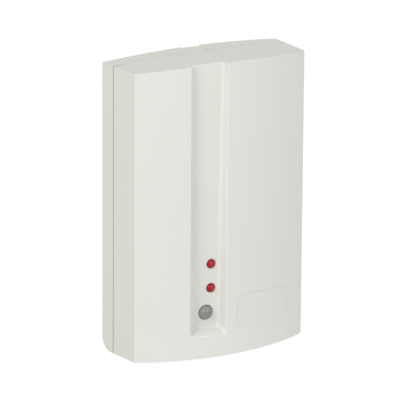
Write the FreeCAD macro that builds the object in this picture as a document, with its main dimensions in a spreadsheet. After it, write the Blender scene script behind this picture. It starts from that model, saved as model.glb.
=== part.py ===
import FreeCAD, Part
import math
import os
import re
import Sketcher
from FreeCAD import Vector

# Wall mounted radio relay receiver. Millimetres. The wall is the plane y = 0, the front faces -Y, up is +Z,
# and the origin is the middle of the flat back face. "Depth" below means distance in front of the wall.

doc = FreeCAD.newDocument("relay_receiver")
sheet = doc.addObject("Spreadsheet::Sheet", "sizes")

# Driving sizes
SIZES = {
    # Housing, outside
    "body_width": 61.4,
    "side_height": 90.0,
    "top_arch": 1.35,
    "bottom_arch": 0.7,
    "side_slope": 0.0486,
    "bottom_slope": 0.02,
    "corner_depth": 17.9,
    "front_bulge": 6.0,
    "front_edge_round": 0.4,
    "bottom_round": 4.5,
    # Housing, walls and the joint between base and cover
    "wall": 2.0,
    "back_plate": 2.0,
    "seam_depth": 6.1,
    "seam_gap": 0.3,
    "tongue_thick": 0.9,
    "tongue_tall": 2.0,
    "lap_clearance": 0.12,
    "lap_end_gap": 0.2,
    # Groove down the front
    "groove_offset": 6.95,
    "groove_wide": 11.9,
    "groove_lean": 0.24,
    "groove_depth_top": 2.1,
    "groove_depth_end": 3.4,
    "groove_end": 37.9,
    "ledge_slope": 0.4,
    "lip_round": 0.45,
    "groove_corner": 1.1,
    # Shallow bare field low on the right of the front
    "field_offset": 12.95,
    "field_drop": 31.9,
    "field_wide": 20.3,
    "field_tall": 10.2,
    "field_corner": 1.5,
    "field_sink": 0.2,
    # Release notch over the catch, in the middle of the top
    "notch_wide": 6.2,
    "notch_back": 0.25,
    "notch_front": 0.9,
    "notch_nick": 0.5,
    "catch_wide": 5.0,
    "catch_thick": 1.2,
    "catch_depth": 12.0,
    "catch_clearance": 0.15,
    "catch_bead": 0.1,
    "catch_bead_long": 1.6,
    # Holes in the back plate
    "wall_hole": 4.4,
    "wall_hole_offset": 9.0,
    "wall_hole_height": 34.5,
    "cable_left": 25.0,
    "cable_wide": 20.0,
    "cable_low": 29.5,
    "cable_tall": 9.0,
    "cable_corner": 1.5,
    # Circuit board and its posts
    "board_gap": 3.2,
    "board_thick": 1.6,
    "board_side_gap": 0.67,
    "board_top": 26.0,
    "board_bottom": 40.4,
    "board_corner": 1.0,
    "board_notch": 9.0,
    "post_wide": 5.0,
    "post_inset": 3.5,
    "post_upper": 11.0,
    "post_lower": 36.8,
    "screw_pilot": 1.9,
    "screw_pilot_deep": 4.4,
    "screw_hole": 2.7,
    "screw_length": 5.6,
    "screw_head": 4.0,
    "screw_head_tall": 1.4,
    "screw_slot": 0.6,
    "screw_core": 1.7,
    "screw_cross": 2.4,
    # Indicator lamps
    "light_offset": 4.5,
    "light_drop": 16.6,
    "light_pitch": 7.62,
    "light_lens": 2.75,
    "light_tall": 5.3,
    "light_flange": 3.6,
    "status_offset": 6.1,
    "status_lens": 4.5,
    "status_tall": 8.6,
    "status_flange": 5.3,
    "flange_thick": 1.0,
    "lens_sink": 0.4,
    "lens_clearance": 0.15,
    "lead_thick": 0.5,
    "lead_pitch": 2.54,
    # Screw terminals along the top of the board
    "terminal_margin": 2.3,
    "terminal_low": 15.2,
    "terminal_deep": 9.0,
    "terminal_tall": 10.0,
    "terminal_slant": 2.2,
    "terminal_slant_tall": 3.4,
    "terminal_well": 3.9,
    "terminal_well_deep": 3.4,
    "terminal_screw": 3.5,
    "terminal_screw_tall": 2.2,
    "terminal_slot": 0.7,
    "terminal_slot_deep": 1.0,
    "wire_entry": 3.6,
    "wire_entry_deep": 5.0,
    "wire_entry_rise": 1.2,
    "clamp_thick": 0.8,
    "clamp_clearance": 0.1,
    # Relays
    "relay_wide": 10.4,
    "relay_tall": 15.4,
    "relay_deep": 10.9,
    "relay_gap": 0.5,
    "relay_space": 1.8,
    "relay_height": 6.2,
    "case_round": 0.6,
    "case_bevel": 0.3,
    # Supply parts
    "can_width": 8.0,
    "can_tall": 10.5,
    "can_gap": 0.5,
    "can_height": 10.0,
    "can_round": 0.5,
    "regulator_gap": 2.8,
    "regulator_height": 10.6,
    "regulator_wide": 6.6,
    "regulator_tall": 6.1,
    "regulator_deep": 2.3,
    "regulator_tab": 0.5,
    "regulator_tab_out": 1.1,
    "regulator_lead": 0.8,
    "regulator_lead_out": 1.6,
    "regulator_lead_pitch": 2.28,
    "diode_width": 2.7,
    "diode_long": 5.2,
    "diode_drop": 4.6,
    "diode_lead": 0.8,
    "diode_reach": 7.6,
    "diode_lift": 0.1,
    # Microcontroller and its crystal
    "chip_offset": 4.5,
    "chip_drop": 14.0,
    "chip_wide": 7.5,
    "chip_tall": 12.8,
    "chip_deep": 2.3,
    "chip_lift": 0.2,
    "chip_lead_pitch": 1.27,
    "chip_lead_wide": 0.42,
    "chip_lead_out": 1.4,
    "chip_lead_tall": 1.3,
    "crystal_wide": 11.0,
    "crystal_tall": 4.6,
    "crystal_deep": 3.4,
    "crystal_offset": 4.0,
    "crystal_drop": 24.6,
    "crystal_flange": 0.5,
    # Radio section
    "shield_edge": 1.8,
    "shield_drop": 20.6,
    "shield_wide": 12.6,
    "shield_tall": 18.4,
    "shield_deep": 3.2,
    "wire_inset": 5.1,
    "wire_height": 5.5,
    "wire_rise": 7.4,
    "wire_bend": 1.4,
    "wire_run": 36.0,
    "wire_width": 0.8,
    # Tamper switch and learn switch
    "switch_inset": 7.2,
    "tamper_drop": 24.0,
    "tamper_wide": 5.8,
    "tamper_tall": 12.8,
    "tamper_deep": 6.5,
    "plunger_wide": 1.6,
    "plunger_tall": 2.9,
    "plunger_out": 1.0,
    "plunger_in": 2.0,
    "plunger_travel": 0.6,
    "press_gap": 0.05,
    "press_post": 4.2,
    "slide_clearance": 0.08,
    "learn_drop": 9.2,
    "learn_wide": 6.0,
    "learn_deep": 3.5,
    "button_width": 3.5,
    "button_out": 3.0,
    "button_in": 1.0,
    "button_travel": 0.25,
    "plunger_round": 0.4,
    "well_spare": 0.2,
    # Setting pins
    "pins_height": 0.4,
    "pin_pitch": 2.54,
    "pin_thick": 0.64,
    "pin_out": 8.5,
    "pin_block_deep": 2.5,
    "cap_deep": 6.0,
    "cap_thick": 2.4,
    "cap_gap": 0.1,
    # Small chip parts in a row
    "resistor_offset": 12.6,
    "resistor_first": 11.0,
    "resistor_pitch": 3.2,
    "resistor_wide": 2.0,
    "resistor_tall": 1.25,
    "resistor_deep": 0.5,
    "resistor_rows": 8,
    # Relay driver transistors
    "driver_drop": 9.2,
    "driver_offset": 9.6,
    "driver_pitch": 4.6,
    "driver_wide": 2.9,
    "driver_tall": 1.4,
    "driver_deep": 1.0,
    "driver_foot": 0.4,
    "driver_foot_out": 0.6,
    "driver_foot_pitch": 0.95,
}

# Screw terminals from left to right along the top of the board, and what each pole of a block serves
TERMINAL_BLOCKS = {
    "supply_terminals": ["plus", "minus"],
    "relay_1_terminals": ["closed", "common", "open"],
    "relay_2_terminals": ["closed", "common", "open"],
    "tamper_terminals": ["out", "back"],
}
POLES = sum(len(poles) for poles in TERMINAL_BLOCKS.values())

# Places worked out from the driving sizes
WORKED_OUT = {
    "half_side": "side_height / 2",
    "top_radius": "(body_width ^ 2 / 4 + top_arch ^ 2) / (2 * top_arch)",
    "top_centre": "half_side + top_arch - top_radius",
    "bottom_radius": "(body_width ^ 2 / 4 + bottom_arch ^ 2) / (2 * bottom_arch)",
    "bottom_centre": "bottom_radius - half_side - bottom_arch",
    "under_lean": "sqrt(1 + bottom_slope ^ 2)",
    "under_centre_up": "bottom_round * (bottom_slope + under_lean) - half_side - bottom_arch",
    "under_meet_depth": "bottom_round * (1 + bottom_slope / under_lean)",
    "under_meet_up": "under_centre_up - bottom_round / under_lean",
    "corner_half": "body_width / 2 - side_slope * corner_depth",
    "front_radius": "(corner_half ^ 2 + front_bulge ^ 2) / (2 * front_bulge)",
    "apex_depth": "corner_depth + front_bulge",
    "past_front": "apex_depth + 2",
    "past_top": "half_side + top_arch + 2",
    "base_rim": "seam_depth - seam_gap / 2",
    "cover_rim": "seam_depth + seam_gap / 2",
    "tongue_end": "base_rim + tongue_tall",
    "lap_end": "tongue_end + lap_end_gap",
    "lap_inset": "wall - tongue_thick - lap_clearance",
    "tongue_inset": "wall - tongue_thick",
    "groove_left": "groove_offset + groove_wide / 2",
    "groove_right": "groove_offset - groove_wide / 2",
    "lip_left": "apex_depth - front_radius + sqrt(front_radius ^ 2 - groove_left ^ 2)",
    "lip_right": "apex_depth - front_radius + sqrt(front_radius ^ 2 - groove_right ^ 2)",
    "sag_left": "apex_depth - lip_left",
    "top_left": "lip_left - groove_depth_top",
    "floor_tilt": "(lip_right - lip_left) / groove_wide",
    "groove_fall": "(groove_depth_end - groove_depth_top) / (past_top + groove_end)",
    "ledge_lean": "sqrt(1 + ledge_slope ^ 2)",
    "board_back": "back_plate + board_gap",
    "board_front": "board_back + board_thick",
    "board_tall": "board_top + board_bottom",
    "board_middle": "(board_top - board_bottom) / 2",
    "board_wide": "body_width - 2 * (wall + side_slope * board_front + board_side_gap)",
    "post_offset": "board_wide / 2 - post_inset",
    "switch_offset": "board_wide / 2 - switch_inset",
    "shield_offset": "board_wide / 2 - shield_edge - shield_wide / 2",
    "wire_offset": "board_wide / 2 - wire_inset",
    "can_offset": "post_offset - screw_head / 2 - can_gap - can_width / 2",
    "relay_first": "can_offset - can_width / 2 - relay_gap - relay_wide / 2",
    "relay_pitch": "relay_wide + relay_space",
    "regulator_offset": "relay_pitch - relay_first + (relay_wide + regulator_wide) / 2 + regulator_gap",
    "pole_pitch": f"(board_wide - 2 * terminal_margin) / {POLES}",
    "inside_top": "half_side + top_arch - wall",
    "catch_top": "inside_top - catch_clearance",
    "terminal_front": "board_front + terminal_tall",
    "terminal_high": "terminal_low + terminal_deep",
    "terminal_row": "terminal_low + terminal_deep * 0.42",
    "status_drop": "light_drop + 2 * light_pitch",
    "floor_at_top": "top_left + floor_tilt * groove_left - groove_fall * past_top",
    "light_1_floor": "floor_at_top - floor_tilt * light_offset - groove_fall * light_drop",
    "light_2_floor": "light_1_floor - groove_fall * light_pitch",
    "status_light_floor": "floor_at_top - floor_tilt * status_offset - groove_fall * status_drop",
    "entry_middle": "board_front + wire_entry_rise + wire_entry / 2",
    "plunger_top": "board_front + tamper_deep + plunger_out",
    "press_end": "plunger_top + press_gap",
    "learn_front": "board_front + learn_deep",
}

for row, (name, value) in enumerate(SIZES.items(), start=1):
    sheet.set(f"A{row}", name)
    sheet.set(f"B{row}", str(value))
    sheet.setAlias(f"B{row}", name)
for row, (name, formula) in enumerate(WORKED_OUT.items(), start=len(SIZES) + 1):
    sheet.set(f"A{row}", name)
    sheet.set(f"B{row}", "=" + formula)
    sheet.setAlias(f"B{row}", name)
doc.recompute()

NAMES = set(SIZES) | set(WORKED_OUT)
POST_PLACES = [
    ("-post_offset", "post_upper"), ("post_offset", "-post_lower"),
    ("post_offset", "post_upper"), ("-post_offset", "-post_lower")]
SCREWED_POSTS = POST_PLACES[:2]
PIECES = []


def from_sheet(formula):
    """The formula with each size name pointed at its cell."""
    point = lambda word: "sizes." + word[0] if word[0] in NAMES else word[0]
    return re.sub(r"[a-z][a-z_0-9]*", point, str(formula))


def bind(thing, prop, formula):
    thing.setExpression(prop, from_sheet(formula))


def size(name):
    """The present value of a cell, for a first guess of sketch geometry and to pick edges."""
    return float(getattr(sheet, name))


def finish(name, thing):
    """Names a finished sub-part and puts it on the list to be written out."""
    thing.Label = name
    PIECES.append(thing)
    return thing


# Sketch helpers. A sketch on XZ_Plane has x to the right, y up, and its normal points out of the wall.

def new_body(name):
    return doc.addObject("PartDesign::Body", name)


def new_sketch(body, name, role="XZ_Plane", depth="0", across="0", up="0"):
    sketch = body.newObject("Sketcher::SketchObject", name)
    origin_plane = next(item for item in body.Origin.OriginFeatures if item.Role == role)
    sketch.AttachmentSupport = (origin_plane, "")
    sketch.MapMode = "FlatFace"
    bind(sketch, "AttachmentOffset.Base.x", across)
    bind(sketch, "AttachmentOffset.Base.y", up)
    bind(sketch, "AttachmentOffset.Base.z", depth)
    return sketch


def measure(sketch, kind, refs, formula, label):
    """Adds one dimension and ties it to the sheet."""
    sketch.addConstraint(Sketcher.Constraint(kind, *refs))
    sketch.renameConstraint(sketch.ConstraintCount - 1, label)
    bind(sketch, "Constraints." + label, formula)


def add_box(sketch, wide, tall, x="0", y="0", tag="box"):
    """An upright rectangle of the given width and height; x and y are formulas of its middle."""
    first = sketch.GeometryCount
    corners = [Vector(-2, -1, 0), Vector(2, -1, 0), Vector(2, 1, 0), Vector(-2, 1, 0)]
    for index, corner in enumerate(corners):
        sketch.addGeometry(Part.LineSegment(corner, corners[(index + 1) % 4]), False)
    for index in range(4):
        following = first + (index + 1) % 4
        sketch.addConstraint(Sketcher.Constraint("Coincident", first + index, 2, following, 1))
    for index in (0, 2):
        sketch.addConstraint(Sketcher.Constraint("Horizontal", first + index))
        sketch.addConstraint(Sketcher.Constraint("Vertical", first + index + 1))
    measure(sketch, "DistanceX", (first, 1, first, 2, 4), wide, tag + "_wide")
    measure(sketch, "DistanceY", (first + 1, 1, first + 1, 2, 2), tall, tag + "_tall")
    measure(sketch, "DistanceX", (-1, 1, first, 1, -2), f"{x} - ({wide}) / 2", tag + "_x")
    measure(sketch, "DistanceY", (-1, 1, first, 1, -1), f"{y} - ({tall}) / 2", tag + "_y")


def add_circle(sketch, width, x="0", y="0", tag="circle"):
    """A circle of the given width; x and y are formulas of its centre."""
    index = sketch.addGeometry(Part.Circle(Vector(1, 1, 0), Vector(0, 0, 1), 1), False)
    measure(sketch, "Diameter", (index, 2.0), width, tag + "_width")
    measure(sketch, "DistanceX", (-1, 1, index, 3, 1), x, tag + "_x")
    measure(sketch, "DistanceY", (-1, 1, index, 3, 1), y, tag + "_y")


def raise_pad(body, sketch, length):
    pad = body.newObject("PartDesign::Pad", sketch.Name + "_pad")
    pad.Profile = sketch
    bind(pad, "Length", length)
    return pad


def cut_pocket(body, sketch, length=None, midplane=False, toward_front=False):
    """Cuts from the sketch toward the wall, unless toward_front; with no length it goes right through."""
    doc.recompute()
    before = body.Shape.Volume
    pocket = body.newObject("PartDesign::Pocket", sketch.Name + "_cut")
    pocket.Profile = sketch
    pocket.Midplane = midplane
    pocket.Reversed = toward_front
    if length is None:
        pocket.Type = "ThroughAll"
    else:
        bind(pocket, "Length", length)
    doc.recompute()
    if not pocket.Shape.Volume < before:
        raise RuntimeError(pocket.Name + " cuts nothing")
    return pocket


def edges_near(feature, test):
    """Names of the feature's edges whose middle point passes the test."""
    names = []
    for index, edge in enumerate(feature.Shape.Edges, start=1):
        middle = edge.valueAt((edge.FirstParameter + edge.LastParameter) / 2)
        if test(middle, edge):
            names.append(f"Edge{index}")
    return names


def round_edges(body, feature, test, radius, name, kind="PartDesign::Fillet"):
    doc.recompute()
    names = edges_near(feature, test)
    if not names:
        raise RuntimeError(name + " finds no edge")
    rounding = body.newObject(kind, name)
    rounding.Base = (feature, names)
    bind(rounding, "Radius" if kind.endswith("Fillet") else "Size", radius)
    doc.recompute()
    return rounding


def along(edge, direction, limit=0.02):
    """True for an edge that runs in the given direction, within the limit."""
    span = edge.valueAt(edge.LastParameter) - edge.valueAt(edge.FirstParameter)
    return span.Length > 0 and span.cross(direction).Length < limit * span.Length


def add_arc(sketch, begin, end, rise):
    """An anticlockwise arc from begin to end that bows out by rise to the right of that way."""
    chord = end - begin
    half = chord.Length / 2
    radius = (half ** 2 + rise ** 2) / (2 * rise)
    inward = Vector(-chord.y, chord.x, 0).normalize()
    centre = (begin + end) / 2 + inward * (radius - rise)
    first = math.atan2(begin.y - centre.y, begin.x - centre.x)
    circle = Part.Circle(centre, Vector(0, 0, 1), radius)
    return sketch.addGeometry(Part.ArcOfCircle(circle, first, first + 2 * math.asin(half / radius)), False)


ACROSS = Vector(1, 0, 0)
OUTWARD = Vector(0, -1, 0)
UPWARD = Vector(0, 0, 1)


def add_housing_outline(sketch, depth, inset, spare="0"):
    """Front view of the housing at a depth, drawn in by inset: upright sides, arched top and bottom."""
    half = f"(body_width / 2 - side_slope * ({depth}) - ({inset}) + {spare})"
    top = f"(sqrt((top_radius - ({inset})) ^ 2 - {half} ^ 2) + top_centre)"
    low = f"(sqrt((bottom_radius - ({inset}) - bottom_slope * ({depth})) ^ 2 - {half} ^ 2) - bottom_centre)"
    wide = size("body_width") / 2
    tall = size("half_side")
    corners = [Vector(-wide, -tall, 0), Vector(wide, -tall, 0), Vector(wide, tall, 0), Vector(-wide, tall, 0)]
    bottom_arc = add_arc(sketch, corners[0], corners[1], size("bottom_arch"))
    right = sketch.addGeometry(Part.LineSegment(corners[1], corners[2]), False)
    top_arc = add_arc(sketch, corners[2], corners[3], size("top_arch"))
    left = sketch.addGeometry(Part.LineSegment(corners[3], corners[0]), False)
    for index, following in ((bottom_arc, right), (right, top_arc), (top_arc, left), (left, bottom_arc)):
        sketch.addConstraint(Sketcher.Constraint("Coincident", index, 2, following, 1))
    sketch.addConstraint(Sketcher.Constraint("Vertical", left))
    sketch.addConstraint(Sketcher.Constraint("Vertical", right))
    sketch.addConstraint(Sketcher.Constraint("Symmetric", left, 1, right, 2, -2))
    sketch.addConstraint(Sketcher.Constraint("Horizontal", left, 2, right, 1))
    measure(sketch, "DistanceX", (-1, 1, right, 2, wide), half, "half_width")
    measure(sketch, "DistanceY", (-1, 1, right, 2, tall), top, "top")
    measure(sketch, "DistanceY", (right, 1, -1, 1, tall), low, "bottom")
    for arc, centre in ((bottom_arc, "bottom_centre"), (top_arc, "top_centre")):
        measure(sketch, "DistanceY", (-1, 1, arc, 3, sketch.Geometry[arc].Center.y), centre, centre)


def add_loop(sketch, places, tag="point"):
    """A closed loop of straight lines through places, each a pair of formulas."""
    first = sketch.GeometryCount
    points = [Vector(value_of(x), value_of(y), 0) for x, y in places]
    count = len(points)
    for index, point in enumerate(points):
        sketch.addGeometry(Part.LineSegment(point, points[(index + 1) % count]), False)
    for index in range(count):
        following = first + (index + 1) % count
        sketch.addConstraint(Sketcher.Constraint("Coincident", first + index, 2, following, 1))
    for index, (x, y) in enumerate(places):
        line = first + index
        measure(sketch, "DistanceX", (-1, 1, line, 1, points[index].x), x, f"{tag}_{index}_x")
        measure(sketch, "DistanceY", (-1, 1, line, 1, points[index].y), y, f"{tag}_{index}_y")


def value_of(formula):
    """Works a formula out in a spare cell of the sheet."""
    sheet.set("D1", "=" + formula)
    sheet.recompute()
    return float(sheet.get("D1"))


def housing_block(body, name, near, far):
    """The drafted block of the housing between two depths, rounded where its back meets its bottom."""
    outline = new_sketch(body, name + "_outline", depth=near)
    add_housing_outline(outline, "0", "0", spare="1")
    raise_pad(body, outline, f"{far} - ({near})")
    for label, sign in (("left", "-"), ("right", "")):
        side = new_sketch(body, f"{name}_{label}_draft", role="XY_Plane")
        add_loop(side, [
            (f"{sign}(body_width / 2 + side_slope)", "1"),
            (f"{sign}(body_width / 2 - side_slope * past_front)", "-past_front"),
            (f"{sign}(body_width / 2 + 2)", "-past_front"),
            (f"{sign}(body_width / 2 + 2)", "1")])
        cut_pocket(body, side, midplane=True)
    under = new_sketch(body, name + "_under", role="YZ_Plane")
    centre_up = size("under_centre_up")
    radius = size("bottom_round")
    points = [
        ("0", "under_centre_up"), ("-under_meet_depth", "under_meet_up"),
        ("-past_front", "bottom_slope * past_front - half_side - bottom_arch"),
        ("-past_front", "-half_side - bottom_arch - 3"), ("1", "-half_side - bottom_arch - 3"),
        ("1", "under_centre_up")]
    corners = [Vector(value_of(x), value_of(y), 0) for x, y in points]
    circle = Part.Circle(Vector(-radius, centre_up, 0), Vector(0, 0, 1), radius)
    turn = math.atan2(corners[1].y - centre_up, corners[1].x + radius)
    arc = under.addGeometry(Part.ArcOfCircle(circle, turn, 0), False)
    lines = [under.addGeometry(Part.LineSegment(corners[index], corners[(index + 1) % 6]), False)
             for index in range(1, 6)]
    under.addConstraint(Sketcher.Constraint("Coincident", arc, 1, lines[0], 1))
    for line, following in zip(lines, lines[1:]):
        under.addConstraint(Sketcher.Constraint("Coincident", line, 2, following, 1))
    under.addConstraint(Sketcher.Constraint("Coincident", lines[4], 2, arc, 2))
    for index, line in enumerate(lines, start=1):
        measure(under, "DistanceX", (-1, 1, line, 1, corners[index].x), points[index][0], f"across_{index}")
        measure(under, "DistanceY", (-1, 1, line, 1, corners[index].y), points[index][1], f"up_{index}")
    measure(under, "DistanceX", (-1, 1, arc, 3, -radius), "-bottom_round", "round_across")
    measure(under, "DistanceY", (-1, 1, arc, 3, centre_up), "under_centre_up", "round_up")
    axis_up = size("bottom_centre")
    axis = under.addGeometry(Part.LineSegment(Vector(-radius, axis_up, 0), Vector(radius, axis_up, 0)), True)
    under.addConstraint(Sketcher.Constraint("Horizontal", axis))
    measure(under, "DistanceY", (-1, 1, axis, 1, axis_up), "bottom_centre", "axis_up")
    measure(under, "DistanceX", (-1, 1, axis, 1, -radius), "-bottom_round", "axis_start")
    measure(under, "DistanceX", (-1, 1, axis, 2, radius), "bottom_round", "axis_end")
    doc.recompute()
    before = body.Shape.Volume
    sweep = body.newObject("PartDesign::Groove", name + "_under_cut")
    sweep.Profile = under
    sweep.ReferenceAxis = (under, ["Axis0"])
    sweep.Midplane = True
    sweep.Angle = 20
    doc.recompute()
    if not sweep.Shape.Volume < before:
        raise RuntimeError(sweep.Name + " cuts nothing")
    return sweep


def bulge_cut(body, name, radius):
    """Trims a body to the front's arc, which is drawn about one upright axis."""
    sketch = new_sketch(body, name, role="XY_Plane")
    reach = size("body_width")
    drop = size("front_radius") - (size("front_radius") ** 2 - (reach / 2) ** 2) ** 0.5
    apex = size("apex_depth")
    left = Vector(-reach / 2, drop - apex, 0)
    right = Vector(reach / 2, drop - apex, 0)
    arc = add_arc(sketch, left, right, drop)
    front_left = Vector(left.x, -apex - 5, 0)
    front_right = Vector(right.x, -apex - 5, 0)
    lines = [(left, front_left), (front_left, front_right), (front_right, right)]
    down, along_front, back = [sketch.addGeometry(Part.LineSegment(*pair), False) for pair in lines]
    sketch.addConstraint(Sketcher.Constraint("Coincident", arc, 1, down, 1))
    sketch.addConstraint(Sketcher.Constraint("Coincident", down, 2, along_front, 1))
    sketch.addConstraint(Sketcher.Constraint("Coincident", along_front, 2, back, 1))
    sketch.addConstraint(Sketcher.Constraint("Coincident", back, 2, arc, 2))
    sketch.addConstraint(Sketcher.Constraint("Vertical", down))
    sketch.addConstraint(Sketcher.Constraint("Vertical", back))
    sketch.addConstraint(Sketcher.Constraint("Horizontal", along_front))
    sketch.addConstraint(Sketcher.Constraint("PointOnObject", arc, 3, -2))
    measure(sketch, "Radius", (arc, size("front_radius")), radius, "arc_radius")
    measure(sketch, "DistanceY", (-1, 1, arc, 3, 1), "front_radius - apex_depth", "arc_centre")
    measure(sketch, "DistanceX", (-1, 1, back, 1, reach / 2), "body_width / 2", "half_reach")
    measure(sketch, "DistanceX", (down, 2, -1, 1, reach / 2), "body_width / 2", "half_reach_left")
    measure(sketch, "DistanceY", (along_front, 1, -1, 1, apex + 5), "past_front + 3", "front_reach")
    return cut_pocket(body, sketch, midplane=True)


# Rear base: a shallow drafted tray with its back on the wall, one moulding with the tongue that the cover
# laps over, the board posts, the catch under the release notch, the wall screw holes and the cable opening.

def make_rear_base():
    body = new_body("base_moulding")
    housing_block(body, "tray", "0", "base_rim")
    tongue = new_sketch(body, "tongue", depth="base_rim")
    add_housing_outline(tongue, "tongue_end", "tongue_inset")
    raise_pad(body, tongue, "tongue_tall")
    inner = new_sketch(body, "tray_inside", depth="tongue_end")
    add_housing_outline(inner, "base_rim", "wall")
    hollow = cut_pocket(body, inner, "tongue_end - back_plate")
    depth = size("back_plate")
    low_inside = lambda middle, edge: middle.z < 0 and abs(middle.y + depth) < 0.01 and abs(middle.x) < 1
    round_edges(body, hollow, low_inside, "bottom_round - wall", "inside_rounding")

    posts = new_sketch(body, "board_posts", depth="back_plate")
    pilots = new_sketch(body, "board_pilots", depth="board_back")
    for index, (x, y) in enumerate(POST_PLACES):
        add_circle(posts, "post_wide", x, y, f"post_{index}")
    for index, (x, y) in enumerate(SCREWED_POSTS):
        add_circle(pilots, "screw_pilot", x, y, f"pilot_{index}")
    raise_pad(body, posts, "board_gap")
    cut_pocket(body, pilots, "screw_pilot_deep")

    catch_up = "catch_top - catch_thick / 2"
    catch = new_sketch(body, "catch", depth="back_plate", up=catch_up)
    add_box(catch, "catch_wide", "catch_thick")
    raise_pad(body, catch, "catch_depth - back_plate")
    bead = new_sketch(body, "catch_bead_line", depth="catch_depth - catch_bead_long", up="catch_top")
    add_box(bead, "catch_wide", "2 * catch_bead")
    raise_pad(body, bead, "catch_bead_long / 2")

    holes = new_sketch(body, "wall_holes", depth="back_plate")
    add_circle(holes, "wall_hole", "wall_hole_offset", "wall_hole_height", "upper")
    add_circle(holes, "wall_hole", "wall_hole_offset", "-wall_hole_height", "lower")
    cut_pocket(body, holes)
    cable = new_sketch(body, "cable_opening", depth="back_plate", across="cable_wide / 2 - cable_left",
                       up="cable_low + cable_tall / 2")
    add_box(cable, "cable_wide", "cable_tall")
    opening = cut_pocket(body, cable)
    cable_middle = (size("cable_wide") / 2 - size("cable_left"), size("cable_low") + size("cable_tall") / 2)
    reach = (size("cable_wide") + size("cable_tall")) / 2
    corner = lambda middle, edge: (along(edge, OUTWARD) and abs(middle.x - cable_middle[0]) < reach
                                   and abs(middle.z - cable_middle[1]) < size("cable_tall") / 2 + 0.01
                                   and abs(abs(middle.x - cable_middle[0]) - size("cable_wide") / 2) < 0.01)
    round_edges(body, opening, corner, "cable_corner", "cable_rounding")
    cut_release_notch(body, "release_notch", "0", "base_rim")
    return finish("rear_base", body)


def cut_release_notch(body, name, near, far):
    """A wedge in the top wall, where a flat blade reaches the catch; it deepens toward the cover."""
    notch = new_sketch(body, name, role="YZ_Plane")
    top = size("past_top") - 2
    points = [(0.0, top + 1), (-3.0, top + 1), (-3.0, top - 1), (0.0, top - 0.5)]
    corners = [Vector(y, z, 0) for y, z in points]
    for index, point in enumerate(corners):
        notch.addGeometry(Part.LineSegment(point, corners[(index + 1) % 4]), False)
    for index in range(4):
        notch.addConstraint(Sketcher.Constraint("Coincident", index, 2, (index + 1) % 4, 1))
    crown = "(half_side + top_arch)"
    fall = "(notch_front - notch_back) / base_rim"
    heights = ["past_top", "past_top", f"{crown} - notch_back - {fall} * ({far})",
               f"{crown} - notch_back - {fall} * ({near})"]
    for index, (depth, height) in enumerate(zip((near, far, far, near), heights)):
        measure(notch, "DistanceX", (-1, 1, index, 1, corners[index].x), f"-({depth})", f"depth_{index}")
        measure(notch, "DistanceY", (-1, 1, index, 1, corners[index].y), height, f"height_{index}")
    cut_pocket(body, notch, "notch_wide", midplane=True)


# Front cover: a deep drafted shell with a front that bulges about one upright axis. The groove with the lamp
# holes opens through the top and ends in a ledge; its floor lies deeper toward the ledge.

def make_front_cover():
    outside = new_body("cover_outside")
    housing_block(outside, "cover_block", "cover_rim", "past_front")
    bulge_cut(outside, "front_arc", "front_radius")
    groove = groove_tool("groove", "0")
    slotted = outside.newObject("PartDesign::Boolean", "groove_cut")
    slotted.Type = "Cut"
    slotted.setObjects([groove])
    rim = size("corner_depth") - 0.5
    top = size("half_side") - 0.5
    side = size("corner_half") - 1
    lip = size("apex_depth") - 1.5 * size("sag_left")
    side_edge = lambda middle, edge: middle.y < -rim and abs(middle.z) < top and abs(middle.x) > side
    lip_edge = lambda middle, edge: middle.y < -lip and abs(middle.z) < top and abs(middle.x) < side
    edged = round_edges(outside, slotted, side_edge, "front_edge_round", "front_rounding")
    round_edges(outside, edged, lip_edge, "lip_round", "lip_rounding")

    holes = new_sketch(outside, "lamp_holes", depth="past_front")
    small = "light_lens + 2 * lens_clearance"
    add_circle(holes, small, "-light_offset", "-light_drop", "light_1")
    add_circle(holes, small, "-light_offset", "-(light_drop + light_pitch)", "light_2")
    add_circle(holes, "status_lens + 2 * lens_clearance", "-status_offset", "-status_drop", "status")
    cut_pocket(outside, holes)
    cut_release_notch(outside, "cover_nick", "base_rim - 1", "cover_rim + notch_nick")

    inside = new_body("cover_inside")
    cavity = new_sketch(inside, "cavity", depth="cover_rim - 1")
    add_housing_outline(cavity, "corner_depth", "wall")
    raise_pad(inside, cavity, "past_front - cover_rim + 1")
    bulge_cut(inside, "inner_arc", "front_radius - wall")
    backing = inside.newObject("PartDesign::Boolean", "backing_cut")
    backing.Type = "Cut"
    backing.setObjects([groove_tool("backing", "wall")])
    post = new_sketch(inside, "press_post_round", depth="press_end", across="-switch_offset",
                      up="-tamper_drop")
    add_circle(post, "press_post")
    doc.recompute()
    cut_pocket(inside, post, toward_front=True)
    lap = new_sketch(inside, "lap", depth="cover_rim - 1")
    add_housing_outline(lap, "lap_end", "lap_inset")
    raise_pad(inside, lap, "lap_end - cover_rim + 1")
    doc.recompute()

    field = new_body("field_tool")
    plate = new_sketch(field, "field_outline", depth="corner_depth - 2", across="field_offset",
                       up="-field_drop")
    add_box(plate, "field_wide", "field_tall")
    slab = raise_pad(field, plate, "past_front - corner_depth + 2")
    round_edges(field, slab, lambda middle, edge: along(edge, OUTWARD), "field_corner", "field_rounding")
    bed = new_sketch(field, "field_bed", role="XY_Plane")
    add_circle(bed, "2 * (front_radius - field_sink)", "0", "front_radius - apex_depth")
    cut_pocket(field, bed, midplane=True)

    shaped = doc.addObject("Part::Cut", "cover_shaped")
    shaped.Base = outside
    shaped.Tool = field
    cover = doc.addObject("Part::Cut", "front_cover")
    cover.Base = shaped
    cover.Tool = inside
    return finish("front_cover", cover)


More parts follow.
